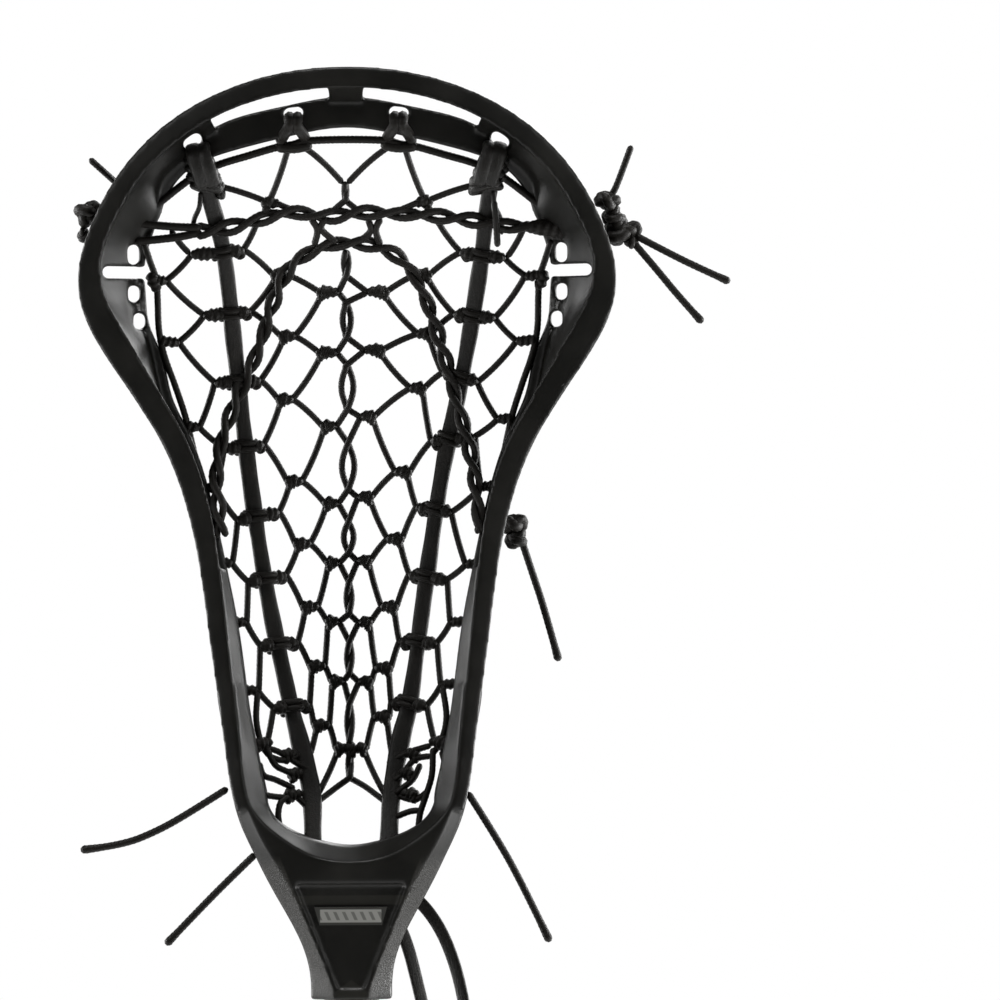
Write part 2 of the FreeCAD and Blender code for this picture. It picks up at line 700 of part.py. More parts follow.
def build_centre_lacing():
    """The net between the leathers: two columns of knots each side of a twisted middle column."""
    knots = {}
    strands = []
    for side in (-1, 1):
        for k, z in enumerate(LEATHER_ROWS):
            knots["leather", side, k] = on_pocket(leather_x(side, z) - side * 6.2, z)
        for k, z in enumerate(SECOND_ROWS):
            knots["second", side, k] = on_pocket(leather_x(side, z) * 0.56, z)
            strands.append((("second", side, k), ("leather", side, k + 1)))
            strands.append((("second", side, k), ("leather", side, min(k + 2, 7) if k else 0)))
        for k, z in enumerate(INNER_ROWS):
            knots["inner", side, k] = on_pocket(side * (0.034 * z + 0.8), z)
            strands.append((("inner", side, k), ("second", side, k)))
            if k:
                strands.append((("inner", side, k - 1), ("second", side, k)))
    heights = [(a + b) / 2 for a, b in zip(INNER_ROWS, INNER_ROWS[1:])]
    for k, z in enumerate([263] + heights + [82]):
        knots["middle", 0, k] = on_pocket(0, z)
        for side in (-1, 1):
            for row in (k - 1, k):
                if 0 <= row < len(INNER_ROWS):
                    strands.append((("middle", 0, k), ("inner", side, row)))
    knots["middle", 0, "top"] = on_pocket(0, 312)
    strands.append((("middle", 0, 0), ("middle", 0, "top")))
    for side in (-1, 1):
        knots["scoop", side, 0] = on_pocket(side * 20, 333)
        strands.append((("middle", 0, "top"), ("scoop", side, 0)))
        knots["shoulder", side, 0] = on_pocket(side * 29, 307)
        strands.append((("shoulder", side, 0), ("scoop", side, 0)))
        strands.append((("shoulder", side, 0), ("leather", side, 0)))
        knots["foot", side, 0] = on_pocket(side * 11, 76)
        strands.append((("middle", 0, 7), ("foot", side, 0)))
    solid_feature("lacing_centre", net(knots, strands))


def build_side_lacing():
    """The zigzag between each leather and its sidewall string."""
    for name, side in (("left", -1), ("right", 1)):
        knots = {}
        strands = []
        for k, z in enumerate(LEATHER_ROWS[:-1]):
            knots["leather", k] = on_pocket(leather_x(side, z) + side * 6.2, z)
        for k, z in enumerate(SIDE_ROWS):
            edge = between(EDGE_WIDTHS, z) - 7.5
            near = abs(leather_x(side, z)) + 5
            knots["side", k] = on_pocket(side * max(edge, near), z)
            strands.append((("leather", k), ("side", k)))
            if k < len(LEATHER_ROWS) - 2:
                strands.append((("side", k), ("leather", k + 1)))
        solid_feature(f"lacing_{name}", net(knots, strands))


def build_knots():
    """The knots that stand outside the frame, and the tie behind the throat."""
    for name, centre, radius in (
        ("knot_upper_left", (-100.5, -10, 303), 4.6),
        ("knot_upper_right", (101.5, -10, 305), 3.4),
        ("knot_side_right", (107, -9, 294.5), 4.6),
        ("knot_mid_right", (64.5, 4, 180.5), 5),
        ("thong_tie", (12, 27.5, 46), 4.5),
    ):
        solid_feature(name, Part.makeSphere(radius, Vector(*centre)))


ENDS = {
    "end_upper_left": ((-88, -6, 314), (-93, -12, 318.5), (-98.5, -16, 323.5)),
    "end_upper_right": ((101.5, -10, 308.2), (104, -11, 313), (109.5, -13, 327.5)),
    "end_side_right_upper": ((111, -9, 293), (123, -10, 286.5), (135, -11.5, 280.5), (147, -12.5, 275)),
    "end_side_right_lower": ((110, -9, 290.5), (119, -8, 280), (127, -7, 270), (136.5, -6, 259.5)),
    "end_mid_right": ((66.5, 4, 176), (70.5, 5, 163.5), (75, 5.5, 150), (80.5, 6, 129.5)),
    "end_low_left_upper": ((-47.5, 12, 81), (-61, 14, 72.5), (-74, 15, 65), (-89, 15.5, 59),
                           (-104.5, 15.5, 57.5)),
    "end_low_left_lower": ((-37, 20, 55.5), (-47, 22, 46), (-59, 23, 34), (-72, 23.5, 20.5)),
    "end_low_right": ((45, 12, 79), (54.5, 14, 64), (65, 15.5, 45.5), (76.5, 16.5, 21)),
    "end_leather_right": ((56.5, -6, 307), (57.3, -7.5, 298), (57.8, -8.5, 289)),
}

THONGS = {
    "thong_left": ((8, 30, 42.5), (15, 28, 33), (21, 25, 22), (25.5, 23, 4), (29.5, 21.5, -14),
                   (28, 20.5, -31), (24.5, 20, -47), (22, 19.5, -64), (21.5, 19.5, -82), (22.3, 19.5, -98),
                   (22, 19.5, -114.5)),
    "thong_right": ((16, 29, 44.5), (25, 25.5, 38.5), (34, 24, 27), (40, 23, 12), (43.5, 22.5, -4),
                    (46, 22.5, -22), (45.5, 22.5, -40), (42.5, 22.5, -57), (38, 22.8, -76), (31.5, 23, -93),
                    (26.5, 24, -106)),
}


def build_ends():
    """The loose string ends, and the leather thongs behind the throat."""
    for name, points in ENDS.items():
        solid_feature(name, tube(name, points, size("end_diameter")))
    for name, points in THONGS.items():
        solid_feature(name, tube(name, points, size("thong_width")))


def build_lashings():
    """The untidy lashings at the pocket's two lower corners."""
    for name, side in (("left", -1), ("right", 1)):
        knots = {
            0: on_pocket(side * 34, 97),
            1: on_pocket(side * 24.5, 93),
            2: on_pocket(side * 24, 78),
            3: on_pocket(side * 31, 84),
        }
        strands = ((0, 1), (1, 2), (2, 3), (3, 0))
        solid_feature(f"corner_lashing_{name}", net(knots, strands))


# ---------------------------------------------------------------- the whole stick


def write_parts():
    """Check every object and sub-part, then write one STEP file for each sub-part."""
    DOCUMENT.recompute()
    for thing in DOCUMENT.Objects:
        if "Invalid" in thing.State or "Error" in thing.State:
            raise ValueError(f"{thing.Label} failed: {thing.State}")
    inner = ("ScrewDome", "ScrewShank", "ScrewDrive", "ScrewBlank")
    kinds = ("PartDesign::Body", "Part::Feature", "Part::Cut")
    subparts = [t for t in DOCUMENT.Objects if t.TypeId in kinds and t.Name not in inner]
    os.makedirs("parts", exist_ok=True)
    for thing in subparts:
        shape = thing.Shape
        if shape.isNull() or not shape.isValid():
            raise ValueError(f"{thing.Label} has no valid shape")
        print(f"{thing.Label}: {len(shape.Solids)} solid, {shape.Volume:.0f} mm3")
    for thing in subparts:
        thing.Shape.exportStep(f"parts/{thing.Label}.step")


fill_sheet()
build_shaft()
build_cap()
build_screw()
build_head()
build_badge()
build_leathers()
build_plain_strings()
build_centre_lacing()
build_side_lacing()
build_lashings()
build_knots()
build_ends()
write_parts()
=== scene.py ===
"""The looks of a women's lacrosse stick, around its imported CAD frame.

Routes are in millimetres: x is to the right of someone who faces the open pocket, y is away from them, and z
is the height above the throat's lower edge. make_piece turns them into metres in the row frame. The net lies
on the pocket's surface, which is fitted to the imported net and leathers.
"""

import math
import random

import bmesh
import bpy
import numpy as np
from mathutils import Matrix, Vector


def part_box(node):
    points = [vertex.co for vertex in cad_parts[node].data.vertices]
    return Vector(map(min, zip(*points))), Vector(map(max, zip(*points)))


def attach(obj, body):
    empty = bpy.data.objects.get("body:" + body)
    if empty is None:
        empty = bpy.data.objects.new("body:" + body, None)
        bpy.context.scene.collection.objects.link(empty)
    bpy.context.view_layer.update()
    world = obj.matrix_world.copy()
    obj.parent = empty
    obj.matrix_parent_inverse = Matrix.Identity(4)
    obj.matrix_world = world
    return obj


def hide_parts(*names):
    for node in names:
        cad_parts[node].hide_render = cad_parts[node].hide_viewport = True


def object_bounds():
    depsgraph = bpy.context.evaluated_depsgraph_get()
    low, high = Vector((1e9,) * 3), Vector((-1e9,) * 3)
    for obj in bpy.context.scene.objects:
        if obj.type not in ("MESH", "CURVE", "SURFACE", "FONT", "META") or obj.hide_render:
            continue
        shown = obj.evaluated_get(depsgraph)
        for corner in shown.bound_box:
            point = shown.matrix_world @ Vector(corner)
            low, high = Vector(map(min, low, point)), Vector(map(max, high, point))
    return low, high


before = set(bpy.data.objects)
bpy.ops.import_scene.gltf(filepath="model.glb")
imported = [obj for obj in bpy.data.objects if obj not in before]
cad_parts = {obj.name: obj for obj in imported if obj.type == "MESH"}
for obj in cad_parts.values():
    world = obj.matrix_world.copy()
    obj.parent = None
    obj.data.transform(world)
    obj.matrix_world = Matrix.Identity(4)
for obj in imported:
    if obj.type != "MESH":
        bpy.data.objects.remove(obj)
CAD_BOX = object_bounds()
random.seed(7)

MM = 0.001
SIDES = ((-1, "left"), (1, "right"))
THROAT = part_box("head_frame")[0].z
FLOOR = CAD_BOX[0].z
CAP_TRAVEL = 0.034    # how far the butt cap slides down off the shaft

CORD = 1.25           # radius of the net's cord
SHOOTING_CORD = 1.45  # radius of one cord of a shooting string
END_CORD = 1.4        # radius of a loose end
INTO_KNOT = 1.3       # how far a net cord runs on into the knot at its end
LEATHER = (3.15, 2.0)  # half width and half thickness of a leather
THONG = (2.55, 0.9)   # half width and half thickness of a thong
MIDDLE = -0.6         # x of the net's middle line


# ---------------------------------------------------------------- the pocket's surface


def pocket_terms(x, z):
    """The terms of the pocket's surface at points given in millimetres."""
    across = (np.asarray(x, float) / 75) ** 2
    up = (np.asarray(z, float) - 200) / 140
    return np.stack([up ** i * across ** j for i in range(8) for j in range(3)], axis=-1)


def fit_pocket():
    """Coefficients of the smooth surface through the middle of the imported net, leathers and side strings."""
    names = ("lacing_centre", "lacing_left", "lacing_right", "leather_left", "leather_right",
             "sidewall_string_left", "sidewall_string_right", "top_string")
    points = []
    for name in names:
        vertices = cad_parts[name].data.vertices
        every = max(1, len(vertices) // 1500)
        points += [vertex.co[:] for vertex in vertices][::every]
    x, y, z = np.array(points).T / MM
    return np.linalg.lstsq(pocket_terms(x, z - THROAT / MM), y, rcond=None)[0]


POCKET = fit_pocket()


def lay(route, proud=0.0):
    """Points of the pocket's surface under an (x, z) route, moved towards the face by proud, one or many."""
    x, z = np.array(route, float).T
    return np.column_stack([x, pocket_terms(x, z) @ POCKET - proud, z])


# ---------------------------------------------------------------- paths and swept solids


def distances(path):
    """Distance along a path of each of its points."""
    return np.concatenate([[0], np.cumsum(np.linalg.norm(np.diff(path, axis=0), axis=1))])


def evenly(points, step):
    """The same line as points a step apart."""
    points = np.asarray(points, float)
    lengths = distances(points)
    places = np.linspace(0, lengths[-1], max(5, int(lengths[-1] / step) + 1))
    return np.column_stack([np.interp(places, lengths, points[:, k]) for k in range(points.shape[1])])


def smooth(points, step=0.8):
    """A smooth line through the points, as points a step apart."""
    points = np.asarray(points, float)
    padded = np.vstack([2 * points[0] - points[1], points, 2 * points[-1] - points[-2]])
    line = []
    for before, a, b, after in zip(padded, padded[1:], padded[2:], padded[3:]):
        for t in np.arange(0, 1, 0.1):
            line.append(0.5 * (2 * a + (b - before) * t + (2 * before - 5 * a + 4 * b - after) * t ** 2
                               + (3 * a - before - 3 * b + after) * t ** 3))
    line.append(points[-1])
    return evenly(line, step)


def bezier(a, b, c, d):
    """Points of one cubic curve."""
    t = np.linspace(0, 1, 14)[:, None]
    a, b, c, d = (np.asarray(p, float) for p in (a, b, c, d))
    return (1 - t) ** 3 * a + 3 * (1 - t) ** 2 * t * b + 3 * (1 - t) * t ** 2 * c + t ** 3 * d


def unit(vectors):
    """The same vectors at length one."""
    return vectors / np.maximum(np.linalg.norm(vectors, axis=-1, keepdims=True), 1e-9)


def side_vectors(path, flat):
    """Directions along a path, and to its side: in the plane of the head if flat, otherwise never turning."""
    along = unit(np.gradient(path, axis=0))
    if flat:
        side = unit(np.cross(along, (0, 1, 0)))
        return along, side
    side = np.empty_like(along)
    last = np.cross(along[0], (0, 1, 0.01))
    for i, direction in enumerate(along):
        last = last - direction * (last @ direction)
        last = last / np.linalg.norm(last)
        side[i] = last
    return along, side


def sweep(path, wide, thick=None, sides=10, lobes=0, pitch=5.0, depth=0.0, flat=False, turn=0.0, square=2.0):
    """A closed solid along a path, with rounded ends: its vertices, and its faces as tuples.

    wide and thick are the section's half sizes, lobes and pitch give it twisted strands, turn twists it,
    and square above 2 makes the section more like a rectangle.
    """
    count = len(path)
    wide = np.broadcast_to(np.asarray(wide, float), count)
    thick = wide if thick is None else np.broadcast_to(np.asarray(thick, float), count)
    turn = np.broadcast_to(np.asarray(turn, float), count)
    along, side = side_vectors(path, flat)
    out = np.cross(side, along)
    reach = distances(path)
    from_end = np.minimum(reach, reach[-1] - reach)
    ease = np.clip(1 - from_end / np.minimum(wide, thick), 0, 0.93)
    ends = np.sqrt(1 - ease ** 2)
    angle = np.linspace(0, 2 * math.pi, sides, endpoint=False)
    section = np.stack([np.sign(f) * np.abs(f) ** (2 / square) for f in (np.cos(angle), np.sin(angle))])
    phase = lobes * (angle[None, :] - 2 * math.pi * reach[:, None] / pitch)
    swell = (1 + depth * np.cos(phase)) * ends[:, None] if lobes else np.repeat(ends[:, None], sides, axis=1)
    u = section[0][None, :] * wide[:, None] * swell
    v = section[1][None, :] * thick[:, None] * swell
    u, v = (u * np.cos(turn)[:, None] - v * np.sin(turn)[:, None],
            u * np.sin(turn)[:, None] + v * np.cos(turn)[:, None])
    rings = path[:, None, :] + u[..., None] * side[:, None, :] + v[..., None] * out[:, None, :]
    row = np.arange(sides)
    faces = []
    for i in range(count - 1):
        a = i * sides + row
        b = i * sides + (row + 1) % sides
        faces += list(zip(a, b, b + sides, a + sides))
    faces.append(tuple(row[::-1]))
    faces.append(tuple((count - 1) * sides + row))
    return rings.reshape(-1, 3), faces


def make_piece(name, solids, coat, node):
    """One object of solids given in millimetres, in a coat's material, that stands for a CAD node."""
    material, slot = coat
    vertices = np.concatenate([points for points, _ in solids]) * MM + (0, 0, THROAT)
    faces = []
    first = 0
    for points, quads in solids:
        faces += [tuple(int(corner) + first for corner in quad) for quad in quads]
        first += len(points)
    mesh = bpy.data.meshes.new(name)
    mesh.from_pydata(vertices.tolist(), [], faces)
    whole = bmesh.new()
    whole.from_mesh(mesh)
    bmesh.ops.recalc_face_normals(whole, faces=whole.faces)
    whole.to_mesh(mesh)
    whole.free()
    mesh.shade_smooth()
    piece = bpy.data.objects.new(name, mesh)
    bpy.context.scene.collection.objects.link(piece)
    mesh.materials.append(material)
    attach(piece, "root")
    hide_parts(node)
    return piece


# ---------------------------------------------------------------- cords, knots and wraps


def twine(path, radius=CORD):
    """A twisted cord of three strands along a path."""
    return sweep(path, radius, sides=9, lobes=3, pitch=5.2, depth=0.05)


def cord(points, radius=CORD, step=0.75):
    """A twisted cord along a smooth line through the points."""
    return twine(smooth(points, step), radius)


def strand(start, end, flat_first):
    """A net cord that ends inside two knots, given as (x, z).

    It leaves the first one level if flat_first, and otherwise hangs from it.
    """
    (x, z), (dx, dz) = start, (end[0] - start[0], end[1] - start[1])
    if flat_first:
        middle = (x + 0.38 * dx, z + 0.27 * dz), (x + 0.75 * dx, z + 0.68 * dz)
    else:
        middle = (x + 0.25 * dx, z + 0.34 * dz), (x + 0.64 * dx, z + 0.73 * dz)
    line = evenly(lay(bezier(start, middle[0], middle[1], end)), 0.75)
    first, last = unit(line[0] - line[1]) * INTO_KNOT, unit(line[-1] - line[-2]) * INTO_KNOT
    line = np.vstack([line[0] + first, line, line[-1] + last])
    return twine(line)


def wrapped_knot(x, z, half, side, tilt=0.0):
    """A knot of the net: cord wrapped along a short level bar, with its lump at the outer end."""
    outer = x + side * half
    inner = x - side * half
    path = smooth(lay([(inner, z + tilt), (x, z + 0.2), (x + side * 0.5 * half, z - 0.2),
                       (outer, z - 0.4 - tilt)], 0.3), 0.45)
    share = np.linspace(0, 1, len(path))
    radius = 1.8 + 1.0 * np.exp(-((share - 0.64) / 0.28) ** 2)
    bar = sweep(path, radius, sides=14, lobes=1, pitch=2.3, depth=0.13)
    lump = smooth(lay([(outer - side * 0.2, z + 1.2), (outer - side * 1.6, z - 0.2),
                       (outer - side * 1.7, z - 2.2), (outer - side * 0.6, z - 2.6)], 1.1), 0.5)
    return [bar, twine(lump, CORD * 1.15)]


def wrap_round(centre, along):
    """Turns of cord round a leather that runs along a direction through centre."""
    turns, gap = 2, 2.35
    around = LEATHER[0] + 1.0, LEATHER[1] + 0.9
    along = unit(np.asarray(along, float))
    side = unit(np.cross(along, (0, 1, 0)))
    out = np.cross(side, along)
    angle = np.linspace(0, 2 * math.pi * turns, 18 * turns)
    rise = (angle / (2 * math.pi) - turns / 2) * gap
    path = (np.asarray(centre) + np.outer(np.cos(angle) * around[0], side)
            + np.outer(np.sin(angle) * around[1], out) + np.outer(rise, along))
    return twine(evenly(path, 0.75))


def crossing(top, low, spread, side):
    """One of two cords that twist by half a turn round each other, down the middle from top to low."""
    share = np.linspace(0, 1, 11)
    wave = np.sin(math.pi * share)
    level = np.cos(math.pi * share) * CORD * 0.95
    flat_line = np.column_stack([MIDDLE - side * spread * wave, top + (low - top) * share])
    points = lay(flat_line)
    points[:, 1] -= side * level
    return points


def twisted_pair(route, proud, spread, pitch, ends=0.0):
    """Two cords that twist round each other along an (x, z) route; ends opens them out near both ends."""
    middle = smooth(lay(route, proud), 0.9)
    along, side = side_vectors(middle, True)
    out = np.cross(side, along)
    reach = distances(middle)
    near_end = np.exp(-np.minimum(reach, reach[-1] - reach) / 9)
    apart = spread + ends * near_end + 0.25 * np.sin(reach / 7.3)
    phase = 2 * math.pi * reach / pitch
    solids = []
    for strand_phase in (0, math.pi):
        offset = (side * (np.cos(phase + strand_phase) * apart)[:, None]
                  + out * (np.sin(phase + strand_phase) * spread * 0.8)[:, None])
        solids.append(sweep(middle + offset, SHOOTING_CORD, sides=11, lobes=3, pitch=6.5, depth=0.06))
    return solids


def ball_knot(centre, radius, tilt=0.0):
    """A stopper knot: one cord wound through a trefoil, so that its turns show."""
    t = np.linspace(0, 2 * math.pi, 90)
    size = radius * 0.235
    trefoil = np.column_stack([np.sin(t) + 2 * np.sin(2 * t), -1.15 * np.sin(3 * t),
                               np.cos(t) - 2 * np.cos(2 * t)]) * size
    turned = trefoil @ np.array(Matrix.Rotation(tilt, 3, "Z") @ Matrix.Rotation(tilt * 1.7, 3, "X")).T
    core = np.asarray(centre) + np.linspace(-0.5, 0.5, 7)[:, None] * np.array([0, radius, 0.4 * radius])
    return [sweep(np.asarray(centre) + turned, radius * 0.38, sides=10, lobes=3, pitch=6, depth=0.06),
            sweep(core, radius * 0.85, sides=12)]


# ---------------------------------------------------------------- materials


class Finish:
    """A material with a few procedural helpers. Object coordinates are the row frame's here."""

    def __init__(self, name, colour, roughness, specular=0.25):
        self.material = bpy.data.materials.new(name)
        self.material.use_nodes = True
        self.tree = self.material.node_tree
        self.shader = self.tree.nodes["Principled BSDF"]
        self.shader.inputs["Base Color"].default_value = (*colour, 1)
        self.shader.inputs["Roughness"].default_value = roughness
        self.shader.inputs["Specular IOR Level"].default_value = specular
        self.place = self.tree.nodes.new("ShaderNodeTexCoord").outputs["Object"]
        split = self.tree.nodes.new("ShaderNodeSeparateXYZ")
        self.tree.links.new(self.place, split.inputs[0])
        self.x, self.y, self.z = split.outputs

    def math(self, operation, a, b=0.0, clamp=False):
        """One math node on sockets or numbers."""
        node = self.tree.nodes.new("ShaderNodeMath")
        node.operation = operation
        node.use_clamp = clamp
        for socket, value in zip(node.inputs, (a, b)):
            if isinstance(value, (int, float)):
                socket.default_value = value
            else:
                self.tree.links.new(value, socket)
        return node.outputs[0]

    def noise(self, scale, detail, stretch=(1, 1, 1)):
        """Noise over the object, scale features to a metre."""
        mapping = self.tree.nodes.new("ShaderNodeMapping")
        mapping.inputs["Scale"].default_value = stretch
        node = self.tree.nodes.new("ShaderNodeTexNoise")
        node.inputs["Scale"].default_value = scale
        node.inputs["Detail"].default_value = detail
        node.inputs["Roughness"].default_value = 0.55
        self.tree.links.new(self.place, mapping.inputs["Vector"])
        self.tree.links.new(mapping.outputs[0], node.inputs["Vector"])
        return node.outputs["Fac"]

    def cells(self, scale):
        """Distance to the nearest of many scattered points."""
        node = self.tree.nodes.new("ShaderNodeTexVoronoi")
        node.inputs["Scale"].default_value = scale
        self.tree.links.new(self.place, node.inputs["Vector"])
        return node.outputs["Distance"]

    def between(self, value, low, high, soft=0.0002):
        """One inside a range of a coordinate and zero outside, with soft edges."""
        rise = self.math("DIVIDE", self.math("SUBTRACT", value, low), soft, True)
        fall = self.math("DIVIDE", self.math("SUBTRACT", high, value), soft, True)
        return self.math("MULTIPLY", rise, fall)

    def ramp(self, value, low, high):
        """A value stretched to the range low to high."""
        node = self.tree.nodes.new("ShaderNodeMapRange")
        node.inputs["To Min"].default_value = low
        node.inputs["To Max"].default_value = high
        self.tree.links.new(value, node.inputs["Value"])
        return node.outputs[0]

    def colours(self, share, first, second):
        """A mix of two colours, each a tuple or a socket."""
        node = self.tree.nodes.new("ShaderNodeMix")
        node.data_type = "RGBA"
        self.tree.links.new(share, node.inputs["Factor"])
        for name, value in (("A", first), ("B", second)):
            socket = [s for s in node.inputs if s.name == name and s.type == "RGBA"][0]
            if isinstance(value, tuple):
                socket.default_value = (*value, 1)
            else:
                self.tree.links.new(value, socket)
        return [s for s in node.outputs if s.type == "RGBA"][0]

    def paint(self, **sockets):
        """Link sockets of the shader by name, with underscores for spaces."""
        for name, value in sockets.items():
            self.tree.links.new(value, self.shader.inputs[name.replace("_", " ")])

    def bump(self, height, distance, strength):
        """Bump from a height, where one unit is distance metres."""
        node = self.tree.nodes.new("ShaderNodeBump")
        node.inputs["Distance"].default_value = distance
        node.inputs["Strength"].default_value = strength
        self.tree.links.new(height, node.inputs["Height"])
        self.tree.links.new(node.outputs[0], self.shader.inputs["Normal"])


def head_plastic():
    """Semi-gloss black nylon, with stippled flanks painted lighter as a painted highlight, and a ledge and
    small point in the throat's panel painted lighter as a painted highlight.
    """
    finish = Finish("moulded_black_nylon", (0.006, 0.0058, 0.0048), 0.4, 0.22)
    cloud = finish.noise(38, 4)
    grain = finish.noise(1900, 2)
    flank_height = finish.between(finish.z, THROAT - 0.001, THROAT + 0.056, 0.006)
    from_middle = finish.math("ABSOLUTE", finish.x)
    panel_edge = finish.math("ADD", finish.math("MULTIPLY", finish.math("SUBTRACT", finish.z, THROAT), 0.4),
                             0.0046)
    outside_panel = finish.math("DIVIDE", finish.math("SUBTRACT", from_middle, panel_edge), 0.0006, True)
    stipple = finish.math("MULTIPLY", flank_height, outside_panel)
    dots = finish.cells(1500)
    height = finish.math("ADD", finish.math("MULTIPLY", grain, 0.25),
                         finish.math("MULTIPLY", finish.math("MULTIPLY", dots, stipple), 1.6))
    finish.bump(height, 0.00012, 0.6)
    worn = finish.math("MULTIPLY", finish.math("SUBTRACT", cloud, 0.42), 2.2, True)
    base = finish.colours(worn, (0.0035, 0.0034, 0.0027), (0.0095, 0.009, 0.0076))
    inside = finish.math("SUBTRACT", 1.0, outside_panel)
    # A band across the panel and a small point at its foot are painted lighter: a painted highlight on a ledge
    # and a point that stand out.
    ledge = finish.math("MULTIPLY", finish.between(finish.z, THROAT + 0.0366, THROAT + 0.0404), inside)
    point = finish.math("SUBTRACT", THROAT + 0.0078, finish.math("MULTIPLY", from_middle, 0.75))
    point = finish.math("MULTIPLY", finish.math("LESS_THAN", finish.z, point), inside)
    ledge_and_point_highlight = finish.math("MULTIPLY", finish.math("MAXIMUM", ledge, point), 0.6)
    base = finish.colours(ledge_and_point_highlight, base, (0.016, 0.0155, 0.013))
    # The stippled flanks get a lighter speckled colour: the stipple is the moulding's own texture, and the
    # lighter tone is a painted highlight for the light their slopes catch.
    speckle_and_flank_highlight = finish.math("MULTIPLY", stipple, finish.ramp(finish.noise(420, 3), 0.35, 1.25), True)
    finish.paint(Base_Color=finish.colours(speckle_and_flank_highlight, base, (0.019, 0.0184, 0.0163)),
                 Roughness=finish.math("ADD", finish.ramp(cloud, 0.27, 0.5),
                                       finish.math("MULTIPLY", stipple, -0.04)))
    return finish.material


def shaft_coat():
    """Charcoal coating over metal, with two silver lines and a plain chevron mark on the front flat."""
    finish = Finish("charcoal_shaft_coating", (0.02, 0.018, 0.015), 0.42, 0.4)
    sparkle = finish.cells(2600)
    streak = finish.noise(240, 3, (1, 1, 0.02))
    front = finish.between(finish.y, -0.02, -0.0098)
    lines = finish.between(finish.z, 0.09, THROAT - 0.055)
    from_middle = finish.math("ABSOLUTE", finish.x)
    lines = finish.math("MULTIPLY", lines, finish.between(from_middle, 0.0006, 0.0017, 0.00012))
    slope = finish.math("ADD", finish.z, finish.math("MULTIPLY", from_middle, 0.9))
    chevrons = None
    for start in (0.0345, 0.0405, 0.0465):
        band = finish.between(slope, THROAT - start - 0.0032, THROAT - start, 0.00015)
        chevrons = band if chevrons is None else finish.math("MAXIMUM", chevrons, band)
    chevrons = finish.math("MULTIPLY", chevrons, finish.between(from_middle, -1, 0.0042))
    mark = finish.math("MULTIPLY", finish.math("MAXIMUM", lines, chevrons), front)
    base = finish.colours(streak, (0.0065, 0.006, 0.005), (0.014, 0.0125, 0.0102))
    flecked = finish.colours(finish.math("LESS_THAN", sparkle, 0.09), base, (0.036, 0.033, 0.028))
    finish.paint(Base_Color=finish.colours(mark, flecked, (0.5, 0.5, 0.48)),
                 Metallic=finish.math("MULTIPLY", mark, 0.8),
                 Roughness=finish.ramp(streak, 0.34, 0.5))
    finish.bump(finish.noise(3000, 2), 0.00003, 0.5)
    return finish.material


def cord_finish(name, dark, light, roughness, waxy):
    """Waxed nylon cord: fine filaments across its strands, and wax that shines in places."""
    finish = Finish(name, dark, roughness, waxy)
    patches = finish.noise(160, 4)
    fibre = finish.noise(2600, 3, (1, 1, 0.35))
    finish.paint(Base_Color=finish.colours(patches, dark, light),
                 Roughness=finish.ramp(finish.noise(420, 2), roughness - 0.1, roughness + 0.15))
    finish.shader.inputs["Sheen Weight"].default_value = 0.03
    finish.shader.inputs["Sheen Roughness"].default_value = 0.4
    finish.bump(fibre, 0.00022, 0.7)
    return finish.material


def leather_finish():
    """Dark waxed leather with pores, a long grain and paler rubbed places."""
    finish = Finish("waxed_dark_leather", (0.012, 0.0105, 0.008), 0.5, 0.3)
    grain = finish.noise(900, 5, (1, 1, 0.25))
    rubbed = finish.math("MULTIPLY", finish.math("SUBTRACT", finish.noise(75, 4), 0.5), 3, True)
    pores = finish.cells(1700)
    finish.paint(Base_Color=finish.colours(rubbed, (0.0045, 0.004, 0.003), (0.014, 0.012, 0.0095)),
                 Roughness=finish.ramp(grain, 0.36, 0.66))
    finish.bump(finish.math("ADD", grain, finish.math("MULTIPLY", pores, 0.4)), 0.0003, 0.7)
    return finish.material


def badge_finish():
    """A satin silver plate: a brushed face hatched with slanting bars, and a dark inset edge."""
    finish = Finish("satin_plate", (0.3, 0.3, 0.28), 0.42, 0.5)
    finish.shader.inputs["Metallic"].default_value = 0.75
    brushed = finish.noise(2200, 2, (0.03, 1, 1))
    low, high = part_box("throat_badge")
    rim = finish.between(finish.z, low.z + 0.0009, high.z - 0.0009, 0.0003)
    sides = finish.between(finish.math("ABSOLUTE", finish.x), -1, -low.x - 0.0021, 0.0003)
    face = finish.math("MULTIPLY", rim, sides)
    slant = finish.math("ADD", finish.x, finish.math("MULTIPLY", finish.z, 0.45))
    bars = finish.math("SINE", finish.math("MULTIPLY", slant, 2 * math.pi / 0.0034))
    hatch = finish.math("MULTIPLY", finish.math("SUBTRACT", bars, 0.15), 2.5, True)
    inset = finish.between(finish.z, low.z + 0.0018, high.z - 0.0018, 0.0003)
    hatch = finish.math("MULTIPLY", finish.math("MULTIPLY", hatch, inset), 0.75)
    silver = finish.colours(hatch, (0.3, 0.3, 0.28), (0.1, 0.1, 0.093))
    finish.paint(Base_Color=finish.colours(face, (0.05, 0.05, 0.046), silver),
                 Roughness=finish.ramp(brushed, 0.32, 0.55))
    finish.bump(brushed, 0.00004, 0.6)
    return finish.material


def zinc_finish():
    """Bright zinc plate, a little cloudy."""
    finish = Finish("zinc_plated_steel", (0.5, 0.51, 0.52), 0.3, 0.5)
    finish.shader.inputs["Metallic"].default_value = 1.0
    finish.paint(Roughness=finish.ramp(finish.noise(700, 3), 0.2, 0.42),
                 Base_Color=finish.colours(finish.noise(300, 3), (0.38, 0.39, 0.4), (0.62, 0.62, 0.6)))
    return finish.material


